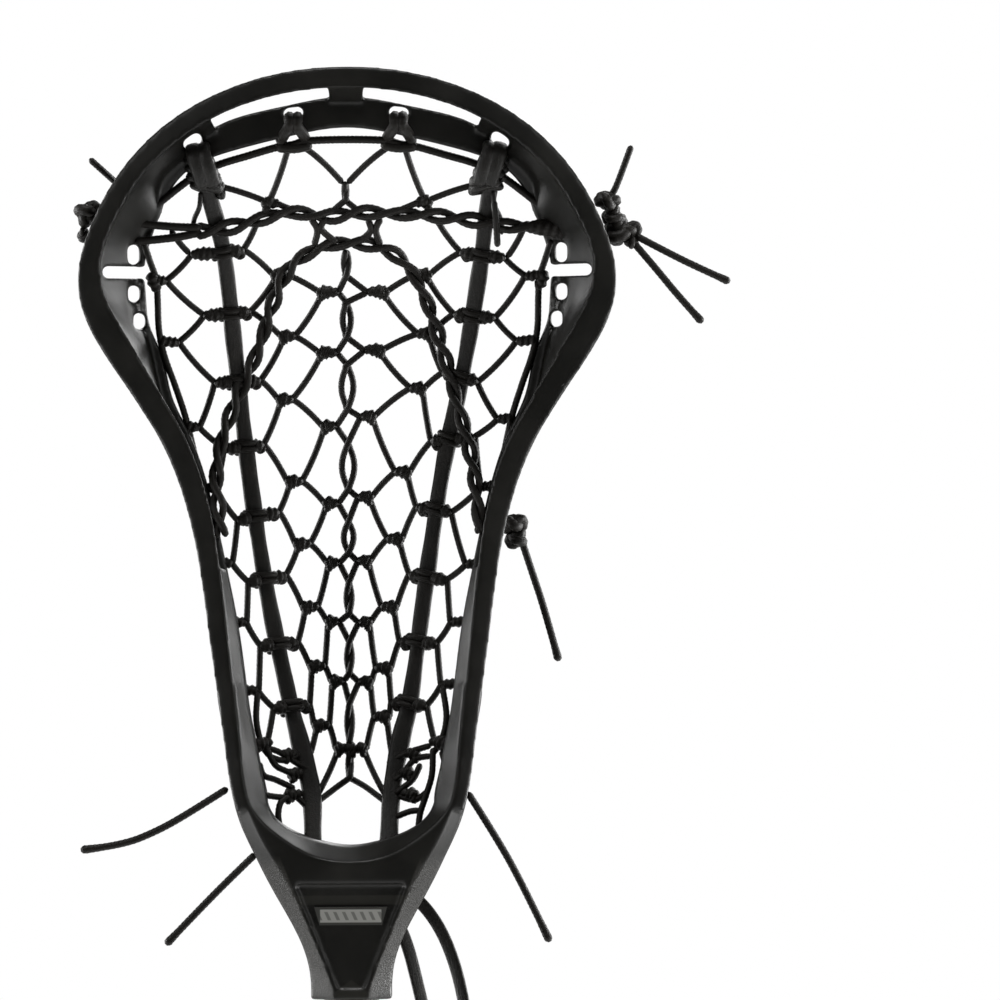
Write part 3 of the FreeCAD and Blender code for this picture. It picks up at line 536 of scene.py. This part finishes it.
def rubber_finish():
    """Matt moulded rubber with a fine grain, and grip rings round the sleeve."""
    finish = Finish("matt_black_rubber", (0.012, 0.012, 0.012), 0.7, 0.2)
    rings = finish.math("SINE", finish.math("MULTIPLY", finish.z, 2 * math.pi / 0.0032))
    sleeve = finish.between(finish.z, FLOOR + 0.009, FLOOR + 0.031, 0.001)
    grain = finish.noise(2400, 3)
    height = finish.math("ADD", finish.math("MULTIPLY", finish.math("MULTIPLY", rings, sleeve), 1.6), grain)
    dusty = finish.noise(90, 4)
    finish.paint(Base_Color=finish.colours(dusty, (0.009, 0.009, 0.009), (0.02, 0.02, 0.0195)),
                 Roughness=finish.ramp(dusty, 0.6, 0.8))
    finish.bump(height, 0.00018, 0.6)
    return finish.material


def floor_finish():
    """A plain pale matt floor."""
    finish = Finish("pale_floor", (0.85, 0.85, 0.85), 0.85, 0.1)
    finish.paint(Base_Color=finish.colours(finish.noise(3, 2), (0.84, 0.84, 0.835), (0.87, 0.87, 0.87)))
    return finish.material


# Each material with its slot.
NYLON = head_plastic(), "head_plastic"
WAXED = cord_finish("waxed_nylon_cord", (0.0035, 0.003, 0.0022), (0.008, 0.0068, 0.0053), 0.45,
                    0.16), "waxed_cord"
SHOOTING = cord_finish("shooting_cord_weave", (0.0045, 0.004, 0.003), (0.0095, 0.008, 0.0065), 0.5,
                       0.18), "shooting_cord"
HIDE = leather_finish(), "leather"


# ---------------------------------------------------------------- the CAD's own pieces


def dress(node, material):
    """Give a CAD node a material of its own."""
    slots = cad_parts[node].data.materials
    slots.clear()
    slots.append(material)


def dress_frame():
    """The shaft, cap, screw and plate keep their CAD shape."""
    dress("shaft_tube", shaft_coat())
    dress("butt_cap", rubber_finish())
    dress("head_screw", zinc_finish())
    dress("throat_badge", badge_finish())


# The head's mesh: the grid it is rebuilt on in metres, rounds of smoothing, and share of faces kept.
HEAD_VOXEL = 0.00085
HEAD_SMOOTHING = 7
HEAD_FACES_KEPT = 0.5


def make_head():
    """The moulded head: the CAD shape with softened edges."""
    material, slot = NYLON
    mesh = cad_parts["head_frame"].data.copy()
    head = bpy.data.objects.new("head_moulding", mesh)
    bpy.context.scene.collection.objects.link(head)
    remesh = head.modifiers.new("one_skin", "REMESH")
    remesh.mode = "VOXEL"
    remesh.voxel_size = HEAD_VOXEL
    soften = head.modifiers.new("soft_edges", "SMOOTH")
    soften.factor = 0.5
    soften.iterations = HEAD_SMOOTHING
    thin_out = head.modifiers.new("fewer_faces", "DECIMATE")
    thin_out.ratio = HEAD_FACES_KEPT
    graph = bpy.context.evaluated_depsgraph_get()
    final = bpy.data.meshes.new_from_object(head.evaluated_get(graph))
    head.modifiers.clear()
    head.data = final
    final.name = "head_moulding"
    final.materials.clear()
    final.materials.append(material)
    final.shade_smooth()
    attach(head, "root")
    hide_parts("head_frame")


# ---------------------------------------------------------------- leathers, hitches and top string

LEATHERS = {
    -1: ((-58, 325), (-53.5, 311), (-47.5, 286), (-43.5, 246), (-38, 196), (-31.7, 154), (-24, 116),
         (-20.4, 101), (-17.2, 88), (-15.2, 77), (-14.8, 58)),
    1: ((57.5, 325), (54, 305), (51, 281), (44.5, 243), (36, 203), (29.5, 161), (23.4, 117), (19.9, 102),
        (17.2, 89), (15.4, 76), (14.4, 58)),
}
SCOOP_OUTER_HOLE = (59, 330)
SCOOP_INNER_HOLE = (20.2, 340.8)


def leather_x(side, z):
    """The x of a leather's middle at a height."""
    route = sorted((height, x) for x, height in LEATHERS[side])
    return float(np.interp(z, [height for height, _ in route], [x for _, x in route]))


def make_leathers():
    """Each leather as one strip with rounded edges, and the thick hitch that ties it to the scoop."""
    for side, label in SIDES:
        path = smooth(lay(LEATHERS[side]), 1.0)
        reach = distances(path)
        wobble = 1 + 0.05 * np.sin(reach / 9 + side) + 0.03 * np.sin(reach / 3.7)
        broad = 1 + 0.16 * np.clip((125 - path[:, 2]) / 30, 0, 1)
        strip = sweep(path, LEATHER[0] * wobble * broad, LEATHER[1], sides=18, flat=True, square=3.4,
                      turn=0.1 * np.sin(reach / 31 + side))
        make_piece(f"leather_strip_{label}", [strip], HIDE, f"leather_{label}")
        x, z = SCOOP_OUTER_HOLE
        top = lay([(side * x, z)])[0]
        back = top[1] + 4.5
        face = top[1] - 5.5
        loop = smooth([(side * (x - 4.2), face + 2.5, 312), (side * (x - 2.2), face - 0.5, 319),
                       (side * (x - 0.4), face, 324.6), (side * x, (face + back) / 2, 327.6),
                       (side * (x - 0.5), back, 325), (side * (x - 3.5), back, 318)], 0.7)
        second = loop + np.array([side * -4, -0.4, 0.4])
        solids = [sweep(loop, 2.9, 1.8, sides=12, square=2.8), sweep(second, 2.7, 1.7, sides=12, square=2.8)]
        slope = lay([(side * 56.2, 322), (side * 53, 311)])
        for share, grow in ((0.02, 1.0), (0.3, 1.14), (0.6, 1.24), (0.88, 1.12)):
            centre = slope[0] + (slope[1] - slope[0]) * share + np.array([0, -0.8, 0])
            ring = np.linspace(-0.4, 2 * math.pi - 0.2, 26)
            tilt = 0.28 * side
            circle = np.column_stack([4.6 * grow * np.cos(ring), 3.9 * np.sin(ring),
                                      4.6 * grow * np.cos(ring) * tilt + ring * 0.35 - 1])
            solids.append(sweep(evenly(centre + circle, 0.8), 2.2, 1.7, sides=12, square=2.6))
        tail_top = slope[1] + np.array([side * 3.2, -1.5, 0])
        solids.append(cord([tail_top, tail_top + np.array([side * 0.6, 0.3, -6]),
                            *lay([(side * 59, 300), (side * 59.5, 294)], 1)], 1.0))
        make_piece(f"leather_hitch_{label}", solids, HIDE, f"leather_knot_{label}")


def make_top_string():
    """The top string from side to side, and the two hitches that hold it to the scoop's inner holes."""
    half = ((75, 304.5), (60.5, 315.5), (50, 320.8), (38, 324.4), (26.7, 327.6), (20.5, 328.6), (14.8, 330))
    route = [(-x, z) for x, z in half] + [(0, 330.4)] + list(reversed(half))
    solids = [cord(lay(route, 0.4), 1.5)]
    for side in (-1, 1):
        x, z = SCOOP_INNER_HOLE
        bar = lay([(x, z)])[0][1]
        face = bar - 4.6
        for foot, lean in ((x - 5.4, -1.5), (x + 5.4, 1.5)):
            low = lay([(side * foot, 328.2)], 1.2)[0]
            inside = side * (x + lean)
            solids.append(cord([low, low + np.array([(inside - low[0]) * 0.3, -0.6, 3.2]),
                                (inside, face - 0.4, 335.4), (inside, face + 0.3, 338),
                                (inside, bar + 1.5, 339.4)], 2.2))
        bottom = lay([(side * (x - 7), 328.4), (side * x, 327.2), (side * (x + 7), 327.7)], 1.3)
        solids.append(cord(bottom, 2.0))
    make_piece("top_lace", solids, WAXED, "top_string")


# ---------------------------------------------------------------- shooting strings and side strings


def make_shooting_strings():
    """The straight shooting string and the arch, each two cords twisted together."""
    straight = ((-58, 295.8), (-49, 296.5), (-36, 299.5), (-22, 302.8), (-8, 301.2), (6, 302.6),
                (20, 302), (34, 301.2), (50, 299.2), (64, 297), (78, 296.5))
    arch = ((-49.5, 178), (-51.3, 199), (-49.8, 213), (-44, 230), (-35, 250), (-29, 268), (-22, 282),
            (-11, 289), (0, 291), (12, 289.5), (22, 283.5), (29, 272), (35.5, 253), (41.5, 231),
            (46.5, 212), (49.3, 193), (50, 179))
    solids = twisted_pair(straight, 3.4, 1.75, 27, 0.3)
    for route in (((-82, 299), (-72, 298), (-64, 297.4), (-56, 297.2)),
                  ((-82, 292), (-72, 292.8), (-64, 293.8), (-56, 295.4))):
        solids.append(cord(lay(route, 3.6), 1.6))
    wrap = smooth(lay([(66, 297), (74, 296.4), (85, 294.8)], 3.6), 0.7)
    solids.append(sweep(wrap, np.linspace(1.8, 3.9, len(wrap)), sides=14, lobes=1, pitch=3.1, depth=0.1))
    make_piece("shooting_lace_straight", solids, SHOOTING, "shooting_straight")
    solids = twisted_pair(arch, 3.2, 1.65, 24)
    for route in (((-14, 300.5), (-11.5, 296), (-12.8, 290)), ((13, 300.5), (11, 296), (12.8, 290)),
                  ((-8, 301), (-10, 296.5), (-4, 291)), ((8, 300), (9, 295.5), (4, 291))):
        solids.append(cord(lay(route, 3.6), 1.35))
    make_piece("shooting_lace_arch", solids, SHOOTING, "shooting_arch")


# Half of the sidewall strings' route. Below the heights in RAIL_PASS they run behind the rail, which
# is BEHIND_RAIL from the pocket, and above them in front of it.
SIDE_ROUTE = ((78.6, 292), (76, 284), (73.9, 277.5), (73.4, 270), (73, 258), (71, 248), (66.8, 236),
              (63, 224), (59.6, 209), (55.6, 190), (51, 168), (47, 144), (43.4, 118), (40, 98), (37, 88))
RAIL_PASS = (208, 228)
BEHIND_RAIL = -5.6


def side_x(z):
    """How far from the middle a sidewall string is at a height."""
    return float(np.interp(z, [height for _, height in SIDE_ROUTE[::-1]], [x for x, _ in SIDE_ROUTE[::-1]]))


def side_proud(z):
    """How far a sidewall string stands in front of the pocket at a height."""
    return float(np.interp(z, RAIL_PASS, (BEHIND_RAIL, 0.6)))


def make_side_strings():
    """The sidewall strings, with a wrap at each place where the net joins them."""
    for side, label in SIDES:
        route = [(side * x, z) for x, z in SIDE_ROUTE]
        solids = [cord(lay(route, [side_proud(z) for _, z in SIDE_ROUTE]), 1.3)]
        upper = [(side * 76.2, 280), (side * 74.5, 275.5), (side * 72.5, 273.5)]
        solids.append(sweep(smooth(lay(upper, 1.6), 0.5), 2.2, sides=12, lobes=1, pitch=2.6, depth=0.14))
        for x, z in SIDE_KNOTS[side]:
            behind = side_proud(z)
            outward = [(side * (side_x(z) + 1.5), z + 0.8), (side * (abs(x) + 2.5), z), (x, z)]
            path = smooth(lay(outward, [behind, 0.3 * behind, 0.4]), 0.5)
            solids.append(sweep(path, 2.0, sides=12, lobes=1, pitch=2.4, depth=0.14))
        make_piece(f"sidewall_lace_{label}", solids, WAXED, f"sidewall_string_{label}")


# ---------------------------------------------------------------- the net

# Where the net's cords wrap each leather: the ends of the wrap towards the middle and towards the side.
LEATHER_INNER = {
    -1: ((-39.7, 288.5), (-37.5, 265), (-34, 238.4), (-33, 213.7), (-27.3, 187.5), (-24.8, 163),
         (-20.4, 137), (-16, 112.8)),
    1: ((43, 287), (40.5, 263.5), (36.1, 241), (31.5, 214.4), (25.6, 189), (22.7, 163), (18.8, 137),
        (15.5, 113.6)),
}
LEATHER_OUTER = {
    -1: ((-60.5, 287), (-56, 263.5), (-52, 237.5), (-48.5, 212), (-43.5, 184), (-39.5, 160.2),
         (-35, 135.5), (-30, 111.4)),
    1: ((61, 285), (57, 262), (50, 237), (48.8, 216), (39.5, 186.7), (37.7, 160.7), (33.6, 136.3),
        (29.5, 112)),
}
# The middles of the knots between leather and centre, and of those beside the centre.
SECOND = {
    -1: ((-26.3, 279), (-23.5, 255.3), (-24.7, 231), (-21.4, 199.3), (-18.4, 175), (-15.7, 150.5),
         (-13.1, 127.6), (-11.5, 104.7)),
    1: ((29, 278.7), (29.4, 256), (26.5, 235), (20.5, 202.6), (17.3, 176.7), (14.9, 150.3),
        (12.6, 126.6), (11.9, 107.8)),
}
INNER = {
    -1: ((-7.8, 272.2), (-8.4, 249), (-8, 220.5), (-7.4, 190.7), (-6.9, 167.6), (-7.1, 144.8),
         (-5.5, 121.7), (-3.9, 95.6)),
    1: ((11.6, 272.2), (10, 249.8), (7.3, 224.2), (6, 193), (5.5, 168.2), (5.6, 144.4), (5.7, 121.4),
        (3.7, 95.6)),
}
# The net's inner ends of the knots on the sidewall strings.
SIDE_KNOTS = {
    -1: ((-69.5, 277), (-65, 253.3), (-57.5, 220.6), (-51.5, 197), (-45.3, 168), (-40, 145), (-35.5, 118.6)),
    1: ((68, 278), (64.5, 253), (57, 223), (50.5, 197), (44.5, 167), (38.6, 144.6), (34.8, 120.5)),
}
SECOND_HALF = 3.6
INNER_HALVES = (4.5, 4.3, 3.3, 3.3, 3.0, 2.9, 3.0, 2.8)
# The twisted stretches of the middle: upper and lower end, and how far the cords spread.
TWISTS = ((268.3, 255, 1.6), (244.3, 227.3, 2.3), (213.9, 196.3, 2.4), (183.6, 171.7, 1.9),
          (160, 148, 1.0), (136.8, 125, 0.95), (113, 98.5, 0.95))


def centre_column():
    """The cords that twist down the middle, and run out to the inner knots between the twists."""
    solids = []
    for side in (-1, 1):
        for row, (top, low, spread) in enumerate(TWISTS):
            twist = crossing(top, low, spread, side)
            x, z = INNER[side][row]
            start = lay([(x - side * INNER_HALVES[row] * 0.9, z)])
            x, z = INNER[side][row + 1]
            end = lay([(x - side * INNER_HALVES[row + 1] * 0.9, z)])
            solids.append(cord(np.vstack([start, twist, end]), CORD, 0.6))
        x, z = INNER[side][0]
        top = crossing(288.5, 278.6, 0.9, side)
        solids.append(cord(np.vstack([top, lay([(x - side * INNER_HALVES[0] * 0.9, z)])])))
        x, z = INNER[side][-1]
        foot = (side * 13.5, 77.5)
        solids.append(strand((x + side * 1.5, z - 1), foot, False))
        low = crossing(94, 84.5, 0.5, side)
        low_end = lay([(side * 5.5, 81), (side * 13.5, 75)])
        solids.append(cord(np.vstack([lay([(x - side * 2, z)]), low, low_end])))
    solids += wrapped_knot(MIDDLE, 95.4, 3, 1)
    return solids


def net_side(side):
    """The knots and strands between one leather and the centre."""
    solids = []
    for (x, z), half in zip(INNER[side], INNER_HALVES):
        solids += wrapped_knot(x, z, half, side, random.uniform(-0.3, 0.5))
    for x, z in SECOND[side]:
        solids += wrapped_knot(x, z, SECOND_HALF, side, random.uniform(-0.3, 0.4))
    for row, (x, z) in enumerate(SECOND[side]):
        inner_end = (x - side * SECOND_HALF * 0.85, z)
        lump = (x + side * SECOND_HALF * 0.6, z - 2)
        inner = INNER[side][row]
        solids.append(strand(inner_end, (inner[0] + side * INNER_HALVES[row] * 0.8, inner[1] + 0.4), True))
        if row:
            above = INNER[side][row - 1]
            start = (above[0] + side * INNER_HALVES[row - 1] * 0.65, above[1] - 1.8)
            solids.append(strand(start, (inner_end[0], z + 0.6), False))
        start = LEATHER_INNER[side][row]
        solids.append(strand(start, (x + side * SECOND_HALF * 0.85, z + 0.6), True))
        if row + 1 < len(SECOND[side]):
            below = LEATHER_INNER[side][row + 1]
            solids.append(strand(lump, (below[0], below[1] + 0.4), False))
        else:
            solids.append(strand(lump, (side * 15.6, 94.5), False))
    return solids


def leather_wraps(side):
    """The wraps round one leather, each with a bar to its inner end."""
    solids = []
    for (x_in, z_in), (x_out, z_out) in zip(LEATHER_INNER[side], LEATHER_OUTER[side]):
        z = (z_in + z_out) / 2
        x = leather_x(side, z)
        centre, above = lay([(x, z), (leather_x(side, z + 4), z + 4)])
        solids.append(wrap_round(centre, above - centre))
        for end, height, proud in ((x_in, z_in, 1.4), (x_out, z_out, 1.2)):
            toward = 1 if end > x else -1
            path = smooth(lay([(x + toward * 1.5, z + 0.3), (x + toward * 4.4, (z + height) / 2),
                               (end, height)], proud), 0.5)
            share = np.linspace(0, 1, len(path))
            swell = 1.7 + 0.95 * np.exp(-((share - 0.5) / 0.32) ** 2)
            solids.append(sweep(path, swell, sides=12, lobes=1, pitch=2.4, depth=0.13))
        inward = x + (x_in - x) * 0.72
        eye = [(inward - 1.2, z_in - 0.6), (inward, z_in - 2.6), (inward + 1.6, z_in - 2.2),
               (inward + 1.8, z_in - 0.4)]
        solids.append(cord(lay(eye, 1.5), 1.0, 0.5))
    return solids


def make_net():
    """The centre net with its ties to the top, and the zigzag each side of the leathers."""
    solids = centre_column()
    for side in (-1, 1):
        solids += net_side(side)
        solids += leather_wraps(side)
        x, z = side * 29.4, 306.5
        solids += wrapped_knot(x, z, 3.6, side, -0.6)
        solids.append(strand((side * 22.6, 326.8), (x + side * 0.4, z + 1), False))
        solids.append(strand((side * 47.5, 312.6), (x + side * 2.8, z + 1), True))
        solids.append(cord(lay([(x - side * 2, z), (side * 24, 305), (side * 19.5, 303.2)], 2)))
        solids.append(cord(lay([(x + side * 1.5, z - 1), (side * 31.5, 302.5)], 2.5), 1.7))
        solids.append(strand((side * 16, 327.4), (side * 1.6 + MIDDLE, 314.6), True))
        apex = crossing(314.4, 307.4, 0.35, side)
        solids.append(cord(np.vstack([apex, lay([(side * 3.6 + MIDDLE, 304.4), (side * 6, 302.4)], 1.5)])))
        x, z = LEATHER_INNER[side][0]
        solids.append(strand((side * 34.6, 299.6), (x, z + 1), False))
    make_piece("net_centre", solids, WAXED, "lacing_centre")
    for side, label in SIDES:
        solids = []
        for row, (x, z) in enumerate(SIDE_KNOTS[side]):
            above, below = LEATHER_OUTER[side][row], LEATHER_OUTER[side][row + 1]
            solids.append(strand((above[0], above[1] - 0.5), (x, z + 0.5), False))
            solids.append(strand((x, z - 0.5), (below[0], below[1] + 0.5), False))
        first = LEATHER_OUTER[side][0]
        solids.append(strand((side * 67.5, 295.5), (first[0] + side, first[1] + 1), False))
        solids.append(strand(LEATHER_OUTER[side][-1], (side * 32.5, 98), False))
        make_piece(f"net_{label}", solids, WAXED, f"lacing_{label}")


# The short cords of the lashings at the pocket's lower corners.
TANGLES = {
    -1: (((-36, 118), (-36.5, 107), (-34.5, 98), (-31.5, 93)), ((-31.5, 93), (-27, 91.5), (-22.6, 93.6)),
         ((-33, 97), (-29.5, 90), (-26.5, 87.5), (-23.3, 85.4)),
         ((-35.5, 91), (-33.8, 86), (-29, 84), (-24, 80.5)),
         ((-36, 83), (-34, 79), (-29.5, 77.6), (-24.5, 77)),
         ((-24.5, 78), (-27.5, 75.8), (-28.4, 71), (-28, 66)), ((-24.5, 78.5), (-21.8, 75), (-19.2, 70.6)),
         ((-19, 87), (-23, 90), (-28.5, 95), (-34, 96.5))),
    1: (((35.5, 120), (37, 108), (35, 99), (31, 93)), ((31, 93), (26, 91.5), (22.7, 86), (20, 83)),
        ((31.7, 96), (31.3, 86), (29.2, 78.5), (27.4, 71), (26.8, 65)), ((35, 95), (36.2, 90), (35.8, 85)),
        ((27.6, 90), (25.5, 84), (22.6, 80.5), (20.5, 78)), ((27.6, 72), (24.5, 71.5), (20.8, 69.4)),
        ((30.5, 80), (26, 76), (21.5, 77.5)), ((18.5, 90), (24, 94), (31, 97))),
}


def make_tangles():
    """The untidy lashings at the pocket's lower corners: short cords that cross, and four lumps each."""
    for side, label in SIDES:
        solids = []
        for i, route in enumerate(TANGLES[side]):
            inward = [(x - side * 3.5 * max(0, 29 - abs(x)) / 8, z) for x, z in route]
            solids.append(cord(lay(inward, 0.4 + 0.5 * (i % 3)), CORD))
        for x, z, half in ((34, 98, 3.6), (22.4, 78, 3.6), (21.2, 86, 3.2), (23.6, 93.5, 3)):
            solids += wrapped_knot(side * x, z, half, side, 0.6)
        make_piece(f"corner_tangle_{label}", solids, WAXED, f"corner_lashing_{label}")


# ---------------------------------------------------------------- stopper knots, loose ends and thongs

# The knots outside the frame: centre, radius and turn of each of their lumps.
STOPPERS = {
    "knot_upper_left": (((-99.4, -10, 302.6), 5.7, 0.4), ((-101.2, -9, 294.2), 3.3, 1.9)),
    "knot_upper_right": (((100.2, -10, 306.4), 5.1, 1.1), ((102, -10, 300.6), 4.4, 2.2)),
    "knot_side_right": (((103.8, -9, 295), 6.6, 2.0), ((108.6, -9, 295), 4.6, 0.6),
                        ((108.9, -9, 291), 3.5, 1.4)),
    "knot_mid_right": (((63.4, 4, 182.4), 5.4, 0.8), ((64.6, 4, 176.6), 4.6, 2.4)),
    "thong_tie": (((12, 27.5, 46), 5.2, 1.6),),
}

# Short ends, under 30 mm.
STUBS = {
    "end_upper_left": ((-88, -6, 314), (-93, -12, 318.5), (-98.5, -16, 323.5)),
    "end_upper_right": ((101.5, -10, 308.2), (104, -11, 313), (109.5, -13, 327.5)),
    "end_leather_right": ((56.5, -6, 307), (57.3, -7.5, 298), (57.8, -8.5, 289)),
}

# Longer ends: the route, and its length in millimetres.
ENDS = {
    "end_side_right_upper": (((111, -9, 293), (123, -10, 286.5), (135, -11.5, 280.5), (147, -12.5, 275)),
                             40.4),
    "end_side_right_lower": (((110, -9, 290.5), (119, -8, 280), (127, -7, 270), (136.5, -6, 259.5)), 40.9),
    "end_mid_right": (((66.5, 4, 176), (70.5, 5, 163.5), (75, 5.5, 150), (80.5, 6, 129.5)), 48.6),
    "end_low_left_upper": (((-47.5, 12, 81), (-61, 14, 72.5), (-74, 15, 65), (-89, 15.5, 59),
                            (-104.5, 15.5, 57.5)), 62.7),
    "end_low_left_lower": (((-37, 20, 55.5), (-47, 22, 46), (-59, 23, 34), (-72, 23.5, 20.5)), 49.7),
    "end_low_right": (((45, 12, 79), (54.5, 14, 64), (65, 15.5, 45.5), (76.5, 16.5, 21)), 66.3),
}

# The thongs: the route, and its length in millimetres.
THONGS = {
    "thong_left": (((8, 30, 42.5), (15, 28, 33), (21, 25, 22), (25.5, 23, 4), (29.5, 21.5, -14),
                    (28, 20.5, -31), (24.5, 20, -47), (22, 19.5, -64), (21.5, 19.5, -82),
                    (22.3, 19.5, -98), (22, 19.5, -114.5)), 162.9),
    "thong_right": (((16, 29, 44.5), (25, 25.5, 38.5), (34, 24, 27), (40, 23, 12), (43.5, 22.5, -4),
                     (46, 22.5, -22), (45.5, 22.5, -40), (42.5, 22.5, -57), (38, 22.8, -76), (31.5, 23, -93),
                     (26.5, 24, -106)), 163.4),
}


def nurbs_line(points, step):
    """The smooth NURBS line whose control points are given, as points a step apart."""
    curve = bpy.data.curves.new("route", "CURVE")
    curve.dimensions = "3D"
    spline = curve.splines.new("NURBS")
    spline.points.add(len(points) - 1)
    for control, point in zip(spline.points, points):
        control.co = (*point, 1)
    spline.order_u = 3
    spline.use_endpoint_u = True
    curve.resolution_u = 16
    holder = bpy.data.objects.new("route", curve)
    mesh = bpy.data.meshes.new_from_object(holder)
    line = np.array([vertex.co[:] for vertex in mesh.vertices])
    bpy.data.objects.remove(holder)
    bpy.data.curves.remove(curve)
    bpy.data.meshes.remove(mesh)
    return evenly(line, step)


def make_stoppers():
    """The knots outside the frame: each shows the turns of its own cord."""
    for name, lumps in STOPPERS.items():
        solids = []
        for centre, radius, tilt in lumps:
            solids += ball_knot(centre, radius, tilt)
        make_piece(f"{name}_turns", solids, HIDE if name == "thong_tie" else WAXED, name)


def make_ends():
    """The loose ends of string."""
    for name, points in STUBS.items():
        make_piece(f"{name}_cord", [cord(points, 1.3)], HIDE if "leather" in name else WAXED, name)
    for name, (points, length) in ENDS.items():
        line = nurbs_line(points, 0.8)
        share = np.linspace(0, 1, len(line))
        radius = END_CORD * (1 + 0.22 * np.clip((share - 0.86) / 0.14, 0, 1))
        piece = make_piece(f"{name}_cord", [sweep(line, radius, sides=12, lobes=3, pitch=6, depth=0.05)],
                           WAXED, name)


def make_thongs():
    """The two flat leather thongs, which turn over slowly as they hang."""
    for name, (points, length) in THONGS.items():
        line = nurbs_line(points, 1.0)
        share = np.linspace(0, 1, len(line))
        half = THONG[0] * (1 - 0.35 * np.clip((share - 0.93) / 0.07, 0, 1))
        over = (0.5 if name == "thong_left" else -0.6) * np.sin(2.6 * share + 0.35)
        strap = sweep(line, half, THONG[1], sides=16, flat=True, square=3.2, turn=over)
        piece = make_piece(f"{name}_strap", [strap], HIDE, name)


# ---------------------------------------------------------------- studio

FILL_LIGHT = 0.12         # strength of the white surroundings as light; the camera sees them at full white
FLOOR_RADIUS = 1.7
SEEN_WIDTH = 0.385        # metres across the photograph at the head
LENS, SENSOR = 500, 36    # millimetres
CAMERA_X = 0.0582
CAMERA_ABOVE_THROAT = 0.1917
CAMERA_ROLL = -0.33       # degrees

# Each light: its place, width, height and power.
LIGHTS = {
    "key_left": ((-1.5, -1.3, 1.9), 0.5, 1.4, 16),
    "key_right": ((1.5, -1.2, 1.6), 0.4, 1.4, 11),
    "side_left": ((-2.0, 0.85, 0.95), 1.2, 1.6, 70),
    "side_right": ((2.0, 0.85, 0.95), 1.2, 1.6, 100),
    "low_left": ((-1.45, -0.5, 0.2), 0.3, 0.3, 9),
    "low_right": ((1.45, -0.5, 0.2), 0.3, 0.3, 11),
    "top": ((0, -0.4, 2.6), 1.2, 0.3, 26),
    "back": ((0.6, 1.8, 1.8), 1.2, 1.2, 25),
}


def make_light(name, place, wide, tall, power):
    """A soft rectangular light that looks at the head."""
    aim = Vector((0, 0, THROAT + 0.2))
    data = bpy.data.lights.new(name, "AREA")
    data.shape = "RECTANGLE"
    data.size = wide
    data.size_y = tall
    data.energy = power
    light = bpy.data.objects.new(name, data)
    bpy.context.scene.collection.objects.link(light)
    light.location = place
    light.rotation_euler = (aim - Vector(place)).to_track_quat("-Z", "Y").to_euler()
    light.visible_camera = False


def make_studio():
    """White surroundings, a floor below the cap's lowest place, softboxes, and the camera in front."""
    scene = bpy.context.scene
    scene.view_settings.view_transform = "Standard"
    world = bpy.data.worlds.new("studio")
    scene.world = world
    world.use_nodes = True
    tree = world.node_tree
    background = tree.nodes["Background"]
    background.inputs["Color"].default_value = (1, 1, 1, 1)
    path = tree.nodes.new("ShaderNodeLightPath")
    strength = tree.nodes.new("ShaderNodeMapRange")
    strength.inputs["To Min"].default_value = FILL_LIGHT
    strength.inputs["To Max"].default_value = 1.0
    tree.links.new(path.outputs["Is Camera Ray"], strength.inputs["Value"])
    tree.links.new(strength.outputs[0], background.inputs["Strength"])
    bpy.ops.mesh.primitive_circle_add(radius=FLOOR_RADIUS, vertices=128, fill_type="NGON",
                                      location=(0, 0, FLOOR - CAP_TRAVEL - 0.002))
    floor = bpy.context.object
    floor.name = "floor"
    floor.data.materials.append(floor_finish())
    for name, settings in LIGHTS.items():
        make_light(name, *settings)
    camera_data = bpy.data.cameras.new("camera")
    camera_data.type = "PERSP"
    camera_data.lens = LENS
    camera_data.clip_end = 100
    camera_data.sensor_width = SENSOR
    camera = bpy.data.objects.new("camera", camera_data)
    scene.collection.objects.link(camera)
    place = Matrix.Translation((CAMERA_X, -SEEN_WIDTH * LENS / SENSOR, THROAT + CAMERA_ABOVE_THROAT))
    roll = Matrix.Rotation(math.radians(CAMERA_ROLL), 4, "Z")
    camera.matrix_world = place @ Matrix.Rotation(math.radians(90), 4, "X") @ roll
    scene.camera = camera


dress_frame()
make_head()
make_leathers()
make_top_string()
make_shooting_strings()
make_side_strings()
make_net()
make_tangles()
make_stoppers()
make_ends()
make_thongs()
make_studio()
